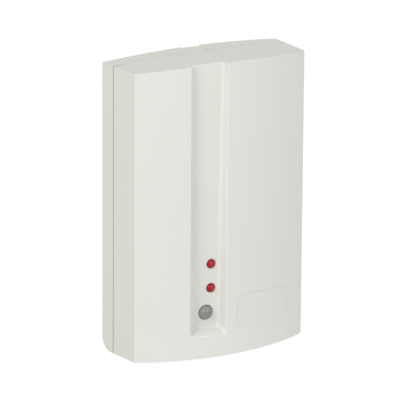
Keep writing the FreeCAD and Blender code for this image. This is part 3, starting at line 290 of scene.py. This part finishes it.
def lens_paint(name, lamps, length, rim, middle, gloss):
    """Tinted epoxy round tinned leads: rim and middle are pairs of colours that a faint cloud blends, and the
    colour goes from rim to middle as the surface faces out from the wall, as painted light and shade on the dome.
    """
    paint = Paint(name, IOR=1.53, Specular_IOR_Level=gloss, Coat_Weight=gloss, Coat_Roughness=0.05)
    depth = paint.axes()[1]
    back = min(span(lamp)[0][1] + span(lamp)[1][1] / 2 for lamp in lamps) - length
    lead = depth < back - 0.02
    cloud = paint.noise(900.0, 2.0)
    # Painted light and shade: the dome's colour turns from the rim pair to the middle pair as its surface faces out
    # from the wall.
    painted_dome_shading = paint.axes("Normal")[1].rise(0.3, 0.95)
    tint = paint.blend(painted_dome_shading, paint.blend(cloud, *rim), paint.blend(cloud, *middle))
    paint.show(Base_Color=paint.blend(lead, tint, (0.60, 0.60, 0.58, 1)), Metallic=lead, Roughness=0.09 + 0.2 * lead)
    return paint.material


red = lens_paint("lens_red", ["relay_1_light", "relay_2_light"], 5.3,
                 [(0.28, 0.003, 0.002, 1), (0.34, 0.004, 0.002, 1)],
                 [(0.42, 0.003, 0.001, 1), (0.50, 0.005, 0.002, 1)], 0.2)
dress(["relay_1_light", "relay_2_light"], red)


# Status lamp: a larger lamp of grey tinted epoxy, cast like the red ones and unlit. Its dome is painted lighter
# at the rim than in the middle, as painted light.

smoke = lens_paint("lens_grey", ["status_light"], 8.6,
                   [(0.240, 0.252, 0.242, 1), (0.280, 0.294, 0.282, 1)],
                   [(0.175, 0.185, 0.177, 1), (0.205, 0.216, 0.207, 1)], 0.5)
dress(["status_light"], smoke)


# Circuit board: green glass fibre laminate under a glossy solder mask. It lies on four posts, and the weave
# shows faintly through the mask.

mask = Paint("board_green", IOR=1.5, Specular_IOR_Level=0.4)
x, depth, z = mask.axes()
weave = abs((x + z) % 0.9 - 0.45) + abs((x - z) % 0.9 - 0.45)
mottle = mask.noise(220.0, 3.0)
board_green = mask.blend(mottle, (0.010, 0.090, 0.040, 1), (0.016, 0.120, 0.052, 1))
mask.bump(weave, 0.000012, 0.35)
mask.show(Base_Color=board_green, Roughness=0.30 + 0.10 * mottle)
dress(["circuit_board"], mask.material)
soften(["circuit_board"], 0.08, 2)
(board_x, board_depth, board_z), board_size = span("circuit_board")
board_front = board_depth + board_size[1] / 2


# Copper: the tracks and the ground area stand a hair proud under the mask and look lighter than the board.
# Wide tracks carry the relay contacts, and narrow ones the signals.

def track(points, width):
    """The outline of a flat track along points, with its bends mitred."""
    near, far = [], []
    for index, point in enumerate(points):
        here = Vector(point)
        ways = [(Vector(b) - Vector(a)).normalized() for a, b in zip(points, points[1:])]
        before = ways[max(index - 1, 0)]
        after = ways[min(index, len(ways) - 1)]
        side = Vector((-before.y - after.y, before.x + after.x)).normalized()
        reach = width / 2 / max(side.dot(Vector((-after.y, after.x))), 0.3)
        near.append(tuple(here + side * reach))
        far.append(tuple(here - side * reach))
    return near + far[::-1]


poles = 10
pole_pitch = (span("tamper_terminals")[0][0] - span("supply_terminals")[0][0]) / (poles - 2)
terminal_foot = span("supply_terminals")[0][2] - span("supply_terminals")[1][2] / 2
relays = [span("relay_1"), span("relay_2")]
relay_top = relays[0][0][2] + relays[0][1][2] / 2
relay_foot = relays[0][0][2] - relays[0][1][2] / 2
(chip_x, chip_depth, chip_z), chip_size = span("microcontroller")
(shield_x, shield_depth, shield_z), shield_size = span("radio_shield")
(array_x, array_depth, array_z), array_size = span("chip_resistors")
pin_pitch = 1.27

tracks = []
for pole in (2, 3, 4, 5, 6):
    pole_x = (pole - (poles - 1) / 2) * pole_pitch
    tracks.append((((pole_x, terminal_foot + 0.3), (pole_x, relay_top - 0.6)), 1.6))
tracks.append((((7.5 * pole_pitch - 4.5 * pole_pitch - 2.5, terminal_foot + 0.3), (11.2, 13.4), (9.2, 12.4)), 1.4))
tracks.append((((22.9, terminal_foot + 0.3), (24.6, 13.5), (26.8, 11.2), (26.8, -31.0), (26.0, -33.0)), 0.6))
tracks.append((((17.8, terminal_foot + 0.3), (17.8, 14.6), (20.6, 12.0), (25.4, 8.0), (25.4, -11.0)), 0.5))
for (relay_x, relay_depth, relay_z), size in relays:
    for side in (-3.6, 3.6):
        tracks.append((((relay_x + side, relay_foot + 0.5), (relay_x + side, -4.6)), 0.9))
    tracks.append((((relay_x - 3.6, -4.8), (relay_x - 2.4, -7.0), (relay_x - 1.6, -8.1)), 0.5))
for row in range(5):
    start = -11.0 - 3.2 * row
    turn = array_x + 1.7 + 0.42 * row
    goal = chip_z + pin_pitch * (3.5 - row)
    tracks.append((((array_x + 1.0, start), (turn - 0.3, start), (turn, start + 0.3 if row else start + 0.2),
                    (turn, goal - 0.3), (turn + 0.3, goal), (chip_x - 4.9, goal)), 0.32))
tracks.append((((array_x + 1.0, -27.0), (-8.8, -27.0), (-6.2, -24.5)), 0.32))
tracks.append((((array_x + 1.0, -30.2), (-9.2, -30.2), (-7.6, -31.7)), 0.32))
for row in range(6):
    height = chip_z + pin_pitch * (3.5 - row)
    tracks.append((((chip_x + 4.9, height), (shield_x - shield_size[0] / 2 + 0.3, height)), 0.32))
for side in (-1, 1):
    tracks.append((((4.0 + side * 2.4, -22.2), (4.0 + side * 2.4, -21.4), (4.0 + side * 5.0, -19.6)), 0.32))
for row, height in enumerate((2.9, 0.4, -2.1)):
    turn = array_x - 1.6 - 0.5 * row
    goal = -11.0 - 3.2 * row
    tracks.append((((-17.8, height), (turn - 0.9, height), (turn, height - 0.9), (turn, goal + 0.6),
                    (array_x - 1.0, goal)), 0.32))
tracks.append((((-17.7, -11.4), (-16.3, -12.8), (-16.3, -35.0), (-15.1, -36.2), (-9.6, -36.2)), 0.5))
tracks.append((((-22.9, terminal_foot + 0.3), (-22.9, 14.3), (-20.6, 13.2)), 1.2))

under_mask = Paint("board_track_green", IOR=1.5, Specular_IOR_Level=0.4)
ripple = under_mask.noise(600.0, 2.0)
under_mask.bump(ripple, 0.00001, 0.3)
under_mask.show(Base_Color=under_mask.blend(ripple, (0.030, 0.200, 0.080, 1), (0.042, 0.240, 0.100, 1)),
                Roughness=0.26 + 0.10 * ripple)
copper_top = board_front + 0.04
copper = [plate(track(points, width), board_front - 0.02, copper_top - 0.002 * (index % 9))
          for index, (points, width) in enumerate(tracks)]
ground = [(-26.9, -39.7), (3.6, -39.7), (3.6, -34.6), (-4.4, -34.6), (-9.6, -34.6), (-10.4, -37.0), (-26.9, -37.0)]
copper.append(plate(ground, board_front - 0.02, copper_top + 0.003))
copper.append(plate(oblong(20.6, -35.0, 12.6, 7.6, 0.8), board_front - 0.02, copper_top))
add_piece("board_tracks", copper, under_mask.material)


# Solder: tinned rings and small cones of solder stand round each lead that passes through the board, and bare
# tinned spots are left for testing.

solder = Paint("board_solder", Metallic=1.0)
dull = solder.noise(2400.0, 3.0)
solder.bump(dull, 0.00002, 0.4)
solder.show(Base_Color=solder.blend(dull, (0.56, 0.56, 0.55, 1), (0.72, 0.72, 0.70, 1)), Roughness=0.24 + 0.22 * dull)


def solder_cone(x, z, wide=0.95):
    return turned(x, z, [(wide, board_front), (wide, copper_top + 0.01), (wide * 0.7, board_front + 0.10),
                         (wide * 0.46, board_front + 0.34), (wide * 0.36, board_front + 0.62)], 18)


joints = []
for lamp in ("relay_1_light", "relay_2_light", "status_light"):
    lamp_x, lamp_depth, lamp_z = span(lamp)[0]
    joints += [solder_cone(lamp_x - 1.27, lamp_z), solder_cone(lamp_x + 1.27, lamp_z)]
for (relay_x, relay_depth, relay_z), size in relays:
    joints += [solder_cone(relay_x - 3.4, -4.6, 1.1), solder_cone(relay_x + 3.4, -4.6, 1.1)]
wire_x = span("antenna_wire")[0][0]
wire_top = span("antenna_wire")[0][2] + span("antenna_wire")[1][2] / 2 - 0.4
joints.append(solder_cone(wire_x, wire_top, 1.2))
for x, z in ((-9.6, -36.2), (-25.6, 4.6), (-25.6, -14.0), (12.0, 2.2), (14.6, 2.2), (17.2, 2.2), (-2.4, -29.6),
             (1.2, -29.0), (26.0, -33.0)):
    joints.append(turned(x, z, [(0.75, board_front), (0.75, copper_top), (0.6, copper_top + 0.03),
                                (0.05, copper_top + 0.04)], 18))
for row in range(8):
    for side in (-0.95, 0.95):
        spot = oblong(array_x + side, -11.0 - 3.2 * row, 0.9, 1.5, 0.15, 2)
        joints.append(plate(spot, board_front - 0.01, copper_top + 0.05))
for side in (-1, 1):
    for row in range(10):
        spot = oblong(chip_x + side * 4.75, chip_z + pin_pitch * (row - 4.5), 1.5, 0.62, 0.1, 2)
        joints.append(plate(spot, board_front - 0.01, copper_top + 0.02))
add_piece("board_solder_joints", joints, solder.material)


# Board print: thin white ink outlines show where the parts go. They are frames and bars only.

ink = Paint("board_ink", Roughness=0.6)
patchy = ink.noise(1500.0, 2.0)
ink.bump(patchy, 0.00001, 0.3)
ink.show(Base_Color=ink.blend(patchy, (0.62, 0.62, 0.58, 1), (0.80, 0.80, 0.76, 1)))


def outline_frame(x, z, wide, tall, line=0.18):
    """Four thin bars round a rectangle."""
    bars = [(x, z + side * tall / 2, wide + line, line) for side in (-1, 1)]
    bars += [(x + side * wide / 2, z, line, tall - line) for side in (-1, 1)]
    return [plate(oblong(*bar), board_front, copper_top + 0.02) for bar in bars]


prints = []
for (relay_x, relay_depth, relay_z), size in relays:
    prints += outline_frame(relay_x, relay_z, size[0] + 0.5, size[2] + 0.5)
    prints += outline_frame(relay_x, -4.6, 5.8, 3.1)
for node, spare in (("radio_shield", 0.7), ("learn_switch", 0.6), ("tamper_switch", 0.6), ("setting_pin_strip", 0.6)):
    middle, size = span(node)
    prints += outline_frame(middle[0], middle[2], size[0] + spare, size[2] + spare)
(can_x, can_depth, can_z), can_size = span("supply_capacitor")
prints.append(turned(can_x, can_z, [(4.3, board_front), (4.3, copper_top), (4.5, copper_top), (4.5, board_front),
                                    (4.3, board_front)], 40))
for row in range(8):
    prints += [plate(oblong(array_x, -11.0 - 3.2 * row + side, 1.3, 0.14), board_front, copper_top)
               for side in (-0.95, 0.95)]
prints.append(turned(chip_x - 4.4, chip_z + 7.0, [(0.3, board_front), (0.3, copper_top), (0.02, copper_top)], 14))
add_piece("board_print", prints, ink.material)


# Board screws: two zinc plated self-tapping screws with a cross recess, driven down onto tinned rings.

steel = Paint("screw_steel", Metallic=1.0)
swirl = steel.noise(1800.0, 3.0, 0.6)
smudge = steel.noise(260.0, 2.0)
steel.bump(swirl, 0.000015, 0.35)
steel.show(Base_Color=steel.blend(smudge, (0.55, 0.56, 0.57, 1), (0.70, 0.71, 0.72, 1)), Roughness=0.26 + 0.2 * swirl)
dress(["board_screws", "terminal_screws", "terminal_clamps"], steel.material)
soften(["board_screws"], 0.28)
soften(["terminal_screws"], 0.1, 2)
rings = [turned(x, z, [(1.45, board_front - 0.02), (1.45, copper_top + 0.03), (2.75, copper_top + 0.03),
                       (2.75, board_front - 0.02), (1.45, board_front - 0.02)], 32)
         for x, z in ((-24.2, 11.0), (24.2, -36.8))]
add_piece("screw_rings", rings, solder.material)


# Relays: sealed cubes of dark blue-grey polyester, filled with epoxy from below. A lid is welded on, and a small
# nub closes the vent.

case = Paint("relay_case", IOR=1.52, Specular_IOR_Level=0.35)
sparkle = case.noise(3000.0, 2.0, 0.6)
streak = case.noise(90.0, 2.0, 0.5, (1, 1, 4))
case.bump(sparkle, 0.000025, 0.4)
case.show(Base_Color=case.blend(streak, (0.012, 0.016, 0.022, 1), (0.022, 0.027, 0.034, 1)), Roughness=0.34 + 0.14 * sparkle)
dress(["relay_1", "relay_2"], case.material)
soften(["relay_1", "relay_2"], 0.25)
lids = []
for (relay_x, relay_depth, relay_z), size in relays:
    top = relay_depth + size[1] / 2
    steps = ((0.0, -0.05), (0.0, 0.08), (0.12, 0.14))
    rings_of_lid = [oblong(relay_x, relay_z, size[0] - 1.2 - 2 * inset, size[2] - 1.2 - 2 * inset, 0.7, 3)
                    for inset, rise in steps]
    points = [(x, top + rise, z) for (inset, rise), ring in zip(steps, rings_of_lid) for x, z in ring]
    count = len(rings_of_lid[0])
    faces = [(row * count + i, row * count + (i + 1) % count, (row + 1) * count + (i + 1) % count, (row + 1) * count + i)
             for row in range(2) for i in range(count)]
    faces += [tuple(range(count)), tuple(range(2 * count, 3 * count))]
    lids.append((points, faces))
    lids.append(turned(relay_x + size[0] / 2 - 2.0, relay_z + size[2] / 2 - 2.0,
                       [(0.6, top), (0.6, top + 0.28), (0.5, top + 0.34), (0.05, top + 0.36)], 18))
add_piece("relay_lids", lids, case.material)


# Radio shield and crystal: both are drawn from tin plated steel sheet. The shield's lid has rows of small vent
# holes, painted on as black discs whose black is painted shade, and its walls are brushed along their length.

tin = Paint("shield_tin", Metallic=1.0)
x, depth, z = tin.axes()
brushed = tin.noise(420.0, 4.0, 0.6, (1, 1, 14))
stain = tin.noise(120.0, 2.0)
lid_face = depth > shield_depth + shield_size[1] / 2 - 0.05
column = (x - shield_x + 30.0 * 2.1 + 1.05) % 2.1 - 1.05
line = (z - shield_z + 30.0 * 2.1 + 1.05) % 2.1 - 1.05
inside = (abs(x - shield_x) < 4.8) * (abs(z - shield_z) < 6.9)
# Painted shade: the vent holes are black, matt, non-metal discs on the flat lid, standing for the dark inside of
# holes.
painted_hole = lid_face * inside * (column * column + line * line < 0.2)
tin_colour = tin.blend(stain * 0.5 + brushed * 0.5, (0.34, 0.34, 0.33, 1), (0.66, 0.65, 0.62, 1))
tin.bump(brushed - 2.0 * painted_hole, 0.00003, 0.4)
tin.show(Base_Color=tin.blend(painted_hole, tin_colour, (0.01, 0.01, 0.01, 1)), Roughness=0.24 + 0.2 * brushed + 0.4 * painted_hole,
         Metallic=1.0 - painted_hole)
dress(["radio_shield", "crystal"], tin.material)
soften(["radio_shield"], 0.35)
soften(["crystal"], 0.3)
clips = []
for side in (-1, 1):
    for row in (-6.0, -2.0, 2.0, 6.0):
        clips.append(plate(oblong(shield_x + side * (shield_size[0] / 2 + 0.12), shield_z + row, 0.24, 1.8, 0.08, 2),
                           board_front + 0.02, board_front + 1.7))
(crystal_x, crystal_depth, crystal_z), crystal_size = span("crystal")
for spread, low, high in ((0.7, 0.02, 0.42), (0.3, 0.42, 0.62)):
    foot = oblong(crystal_x, crystal_z, crystal_size[0] + spread, crystal_size[2] + spread, crystal_size[2] / 2 + spread / 2 - 0.05, 8)
    clips.append(plate(foot, board_front + low, board_front + high))
add_piece("shield_clips", clips, tin.material)


# Antenna: one stiff tinned copper wire, soldered in beside the shield.

wire = Paint("wire_copper", Metallic=1.0)
drawn = wire.noise(900.0, 2.0, 0.5, (1, 1, 0.1))
wire.bump(drawn, 0.00002, 0.3)
wire.show(Base_Color=wire.blend(drawn, (0.64, 0.30, 0.17, 1), (0.76, 0.40, 0.24, 1)), Roughness=0.22 + 0.16 * drawn)
dress(["antenna_wire"], wire.material)
soften(["antenna_wire"], 0.1, 2)


# Supply capacitor: an aluminium can in a shrunk dark sleeve with one pale stripe. Its bare end is scored with a
# cross, so that it can vent.

can = Paint("can_aluminium")
x, depth, z = can.axes()
end_of_can = can_depth + can_size[1] / 2
across = x - can_x
upward = z - can_z
from_axis = (across * across + upward * upward) ** 0.5
bare = (depth > end_of_can - 0.05) * (from_axis < 3.15)
scored = ((abs(across) < 0.16) | (abs(upward) < 0.16)) * (from_axis < 2.4) * bare
stripe = (abs(upward) < 1.1) * (across < 0.0)
turning = can.noise(500.0, 3.0, 0.6)
sleeve = can.blend(turning, (0.010, 0.016, 0.030, 1), (0.016, 0.024, 0.042, 1))
striped = can.blend(stripe, sleeve, (0.42, 0.43, 0.42, 1))
can.bump(turning * 0.3 - 3.0 * scored, 0.00004, 0.6)
rings_of_turning = abs((from_axis % 0.24) - 0.12) * 4.0
aluminium = can.blend(rings_of_turning, (0.50, 0.50, 0.51, 1), (0.68, 0.68, 0.69, 1))
# Painted shade: the score lines are painted dark grey, as the shade in their grooves.
aluminium = can.blend(scored, aluminium, (0.16, 0.16, 0.16, 1))
can.show(Base_Color=can.blend(bare, striped, aluminium), Metallic=bare, Roughness=0.36 + 0.12 * turning - 0.08 * bare)
dress(["supply_capacitor"], can.material)
soften(["supply_capacitor"], 0.12, 2)


# Regulator, diodes, microcontroller and transistors: black moulding compound round tinned lead frames. The chip
# has a dimple at its first pin, and the diodes have a pale band at one end.

chip = Paint("chip_black", IOR=1.55, Specular_IOR_Level=0.35)
x, depth, z = chip.axes()
regulator = span("voltage_regulator")
regulator_low = regulator[0][2] - regulator[1][2] / 2 + 1.6
regulator_high = regulator[0][2] + regulator[1][2] / 2 - 1.1
by_regulator = (x > regulator[0][0] - 4.0) * (z > regulator_low - 3.0)
on_regulator = by_regulator * ((z > regulator_high) | (z < regulator_low))
by_chip = (abs(x - chip_x) < 5.4) * (abs(z - chip_z) < 6.6)
on_chip = by_chip * (abs(x - chip_x) > 3.76)
on_diode = 0.0
band = 0.0
for (relay_x, relay_depth, relay_z), size in relays:
    by_diode = (abs(x - relay_x) < 4.2) * (abs(z + 4.6) < 1.6)
    on_diode = by_diode * (abs(x - relay_x) > 2.61) | on_diode
    band = by_diode * (abs(x - relay_x + 1.7) < 0.35) | band
on_driver = (abs(z + 9.2) > 0.71) * (abs(z + 9.2) < 1.4) * (x < -3.0)
array = (abs(x - array_x) < 1.1) * (z < -10.2) * (depth < board_front + 0.6)
on_array = array * (abs(x - array_x) > 0.62)
metal = on_regulator | on_chip | on_diode | on_driver | on_array
dimple = ((x - chip_x + 2.6) * (x - chip_x + 2.6) + (z - chip_z - 5.2) * (z - chip_z - 5.2) < 0.3) * (depth > chip_depth + 0.9)
ground_glass = chip.noise(4200.0, 2.0, 0.6)
black = chip.blend(ground_glass, (0.010, 0.010, 0.011, 1), (0.024, 0.024, 0.025, 1))
# Painted light: the first pin dimple is painted a lighter grey so that the uncut dimple shows.
banded = chip.blend(dimple, chip.blend(band, black, (0.55, 0.55, 0.53, 1)), (0.05, 0.05, 0.05, 1))
chip.bump(ground_glass - 1.5 * dimple, 0.00003, 0.5)
chip.show(Base_Color=chip.blend(metal, banded, (0.66, 0.66, 0.64, 1)), Metallic=metal,
          Roughness=0.52 + 0.16 * ground_glass - 0.22 * metal - 0.2 * dimple)
dress(["voltage_regulator", "relay_diodes", "microcontroller", "driver_transistors", "chip_resistors"], chip.material)
soften(["voltage_regulator", "microcontroller"], 0.08, 2)
soften(["relay_diodes"], 0.3)
soften(["driver_transistors", "chip_resistors"], 0.06, 2)


# Screw terminals: four blocks of grey glass filled nylon. Ribs on their fronts stiffen the walls between poles.

nylon = Paint("terminal_grey", IOR=1.53)
fibres = nylon.noise(1600.0, 3.0, 0.6, (1, 1, 0.4))
tone = nylon.noise(60.0, 2.0)
nylon.bump(fibres, 0.00003, 0.35)
nylon.show(Base_Color=nylon.blend(tone, (0.120, 0.135, 0.142, 1), (0.150, 0.165, 0.172, 1)), Roughness=0.46 + 0.14 * fibres)
terminals = ["supply_terminals", "relay_1_terminals", "relay_2_terminals", "tamper_terminals"]
dress(terminals, nylon.material)
soften(terminals, 0.16, 2)
ribs = []
for node in terminals:
    middle, size = span(node)
    face = middle[1] + size[1] / 2
    low = middle[2] - size[2] / 2
    count = round(size[0] / pole_pitch)
    for wall in range(1, count):
        rib_x = middle[0] - size[0] / 2 + wall * pole_pitch
        outline = oblong(rib_x, low + 3.3, 0.55, 5.6, 0.25, 3)
        ribs.append(plate(outline, face - 0.05, face + 0.22))
add_piece("terminal_ribs", ribs, nylon.material)


# Tamper switch, learn switch and pin strip: black moulded bodies. The learn switch is held by a pressed steel
# plate with four rivets, and the tamper switch by two hollow rivets.

black_mould = Paint("switch_black", IOR=1.5, Specular_IOR_Level=0.35)
speck = black_mould.noise(2600.0, 2.0, 0.6)
pale = black_mould.noise(80.0, 2.0)
black_mould.bump(speck, 0.00003, 0.4)
black_mould.show(Base_Color=black_mould.blend(pale, (0.014, 0.014, 0.015, 1), (0.026, 0.026, 0.027, 1)),
                 Roughness=0.40 + 0.16 * speck)
dress(["tamper_switch", "learn_switch", "setting_pin_strip"], black_mould.material)
soften(["tamper_switch", "learn_switch"], 0.2)
soften(["setting_pin_strip"], 0.12, 2)
metalwork = []
(learn_x, learn_depth, learn_z), learn_size = span("learn_switch")
learn_face = learn_depth + learn_size[1] / 2
for side in (-1, 1):
    metalwork.append(plate(oblong(learn_x + side * 2.45, learn_z, 0.8, 5.4, 0.2, 2), learn_face - 0.05, learn_face + 0.14))
    metalwork.append(plate(oblong(learn_x, learn_z + side * 2.45, 4.1, 0.8, 0.2, 2), learn_face - 0.05, learn_face + 0.14))
    for up in (-1, 1):
        metalwork.append(turned(learn_x + side * 2.42, learn_z + up * 2.42,
                                [(0.4, learn_face), (0.4, learn_face + 0.22), (0.28, learn_face + 0.34),
                                 (0.03, learn_face + 0.38)], 14))
(tamper_x, tamper_depth, tamper_z), tamper_size = span("tamper_switch")
tamper_face = tamper_depth + tamper_size[1] / 2
for up in (-1, 1):
    metalwork.append(turned(tamper_x, tamper_z + up * 4.6,
                            [(0.9, tamper_face - 0.02), (0.9, tamper_face + 0.10), (0.75, tamper_face + 0.16),
                             (0.5, tamper_face + 0.10), (0.5, tamper_face - 0.02), (0.9, tamper_face - 0.02)], 20))
add_piece("switch_metalwork", metalwork, steel.material)


# Plunger and button: the tamper plunger is natural white acetal, and the learn button dark moulded nylon. Each
# slides in its switch.

acetal = Paint("plunger_white", IOR=1.48, Subsurface_Weight=0.1)
rub = acetal.noise(700.0, 3.0, 0.6, (1, 0.2, 1))
acetal.bump(rub, 0.00002, 0.3)
acetal.show(Base_Color=acetal.blend(rub, (0.72, 0.72, 0.68, 1), (0.82, 0.82, 0.79, 1)), Roughness=0.34 + 0.14 * rub)
dress(["tamper_plunger"], acetal.material)
soften(["tamper_plunger"], 0.12, 2)
push = Paint("switch_button", IOR=1.5, Specular_IOR_Level=0.35)
polish = push.noise(1100.0, 3.0, 0.6)
push.bump(polish, 0.00002, 0.3)
push.show(Base_Color=push.blend(polish, (0.020, 0.020, 0.021, 1), (0.036, 0.036, 0.038, 1)), Roughness=0.30 + 0.18 * polish)
dress(["learn_button"], push.material)
soften(["learn_button"], 0.3)


# Setting pins and caps: gold flashed square pins in the moulded strip, with two blue push-on caps over contacts.

gold = Paint("pin_gold", Metallic=1.0)
plating = gold.noise(2000.0, 2.0)
gold.bump(plating, 0.00001, 0.3)
gold.show(Base_Color=gold.blend(plating, (0.80, 0.58, 0.22, 1), (0.92, 0.70, 0.32, 1)), Roughness=0.2 + 0.14 * plating)
dress(["setting_pins"], gold.material)
soften(["setting_pins"], 0.12, 2)
blue = Paint("cap_blue", IOR=1.5)
fleck = blue.noise(2200.0, 2.0, 0.6)
blue.bump(fleck, 0.00003, 0.4)
blue.show(Base_Color=blue.blend(fleck, (0.010, 0.060, 0.260, 1), (0.018, 0.085, 0.330, 1)), Roughness=0.38 + 0.14 * fleck)
dress(["setting_caps"], blue.material)
soften(["setting_caps"], 0.15, 2)


# Floor: a pale seamless sweep that the object stands on. The camera, glossy and clear surfaces see it almost
# white, and it keeps the object's soft shadow.

floor_edge = 3.0
floor_level = cad_box[0][2] - 0.0003
floor_mesh = bpy.data.meshes.new("studio_floor")
floor_mesh.from_pydata(
    [(-floor_edge, -floor_edge, floor_level), (floor_edge, -floor_edge, floor_level),
     (floor_edge, floor_edge, floor_level), (-floor_edge, floor_edge, floor_level)], [], [(0, 1, 2, 3)])
floor = bpy.data.objects.new("studio_floor", floor_mesh)
scene.collection.objects.link(floor)
backdrop = Paint("studio_white", Base_Color=(0.86, 0.86, 0.86, 1), Roughness=0.9)
seen = [backdrop.node("ShaderNodeLightPath", output=ray) for ray in
        ("Is Camera Ray", "Is Glossy Ray", "Is Transmission Ray")]
shown = (seen[0] | seen[1] | seen[2]) * 0.78
glow = backdrop.node("ShaderNodeEmission", {}, {"Color": (1, 1, 1, 1), "Strength": 1.15})
lit = Wire(backdrop, backdrop.shader.outputs[0])
backdrop.feed(backdrop.tree.nodes["Material Output"].inputs["Surface"],
              backdrop.node("ShaderNodeMixShader", {}, {0: shown, 1: lit, 2: glow}))
floor_mesh.materials.append(backdrop.material)


# Light: an even pale sky, two broad softboxes from above, and two smaller ones in front whose reflections are the
# twin glints on each lamp's dome.

world = bpy.data.worlds.new("studio")
scene.world = world
world.use_nodes = True
sky = world.node_tree
even = sky.nodes["Background"]
even.inputs["Color"].default_value = (1.0, 0.945, 0.88, 1)
even.inputs["Strength"].default_value = 0.39
white = sky.nodes.new("ShaderNodeBackground")
white.inputs["Color"].default_value = (1, 1, 1, 1)
white.inputs["Strength"].default_value = 1.0
choose = sky.nodes.new("ShaderNodeMixShader")
rays = sky.nodes.new("ShaderNodeLightPath")
either = [sky.nodes.new("ShaderNodeMath") for step in range(2)]
for step in either:
    step.operation = "MAXIMUM"
sky.links.new(rays.outputs["Is Camera Ray"], either[0].inputs[0])
sky.links.new(rays.outputs["Is Glossy Ray"], either[0].inputs[1])
sky.links.new(either[0].outputs[0], either[1].inputs[0])
sky.links.new(rays.outputs["Is Transmission Ray"], either[1].inputs[1])
sky.links.new(either[1].outputs[0], choose.inputs[0])
sky.links.new(even.outputs[0], choose.inputs[1])
sky.links.new(white.outputs[0], choose.inputs[2])
sky.links.new(choose.outputs[0], sky.nodes["World Output"].inputs["Surface"])


def softbox(name, azimuth, height, power, size, colour):
    """A square lamp that looks at the part; azimuth counts from the front toward the right, in degrees."""
    a, e = math.radians(azimuth), math.radians(height)
    way = Vector((math.sin(a) * math.cos(e), -math.cos(a) * math.cos(e), math.sin(e)))
    lamp = bpy.data.lights.new(name, "AREA")
    lamp.shape = "SQUARE"
    lamp.size = size
    lamp.energy = power
    lamp.color = colour
    thing = bpy.data.objects.new(name, lamp)
    thing.location = way * 1.2
    thing.rotation_euler = way.to_track_quat("Z", "Y").to_euler()
    scene.collection.objects.link(thing)


cool = (0.93, 0.97, 1.0)
softbox("left_key", -63, 24, 4.2, 0.42, (1.0, 0.98, 0.94))
softbox("right_key", 1, 24, 3.2, 0.42, cool)
softbox("left_softbox", -70, 45, 2.1, 0.5, cool)
softbox("right_softbox", 60, 45, 2.7, 0.5, cool)


# Camera: from the front left and a little above, 1.27 m away through a long lens.

turn = math.radians(-31.32)
lift = math.radians(15.79)
tilt = math.radians(0.3825)
back = Vector((math.sin(turn) * math.cos(lift), -math.cos(turn) * math.cos(lift), math.sin(lift)))
level = Vector((0, 0, 1)).cross(back).normalized()
upright = back.cross(level)
right = level * math.cos(tilt) + upright * math.sin(tilt)
up = upright * math.cos(tilt) - level * math.sin(tilt)
eye = back * 1.26675 + right * 0.003313 - up * 0.002116
lens = bpy.data.cameras.new("photo_camera")
lens.sensor_width = 36.0
lens.lens = 372.23
lens.clip_end = 20.0
camera = bpy.data.objects.new("photo_camera", lens)
camera.matrix_world = Matrix.Translation(eye) @ Matrix((right, up, back)).transposed().to_4x4()
scene.collection.objects.link(camera)
scene.camera = camera

scene.view_settings.view_transform = "Standard"
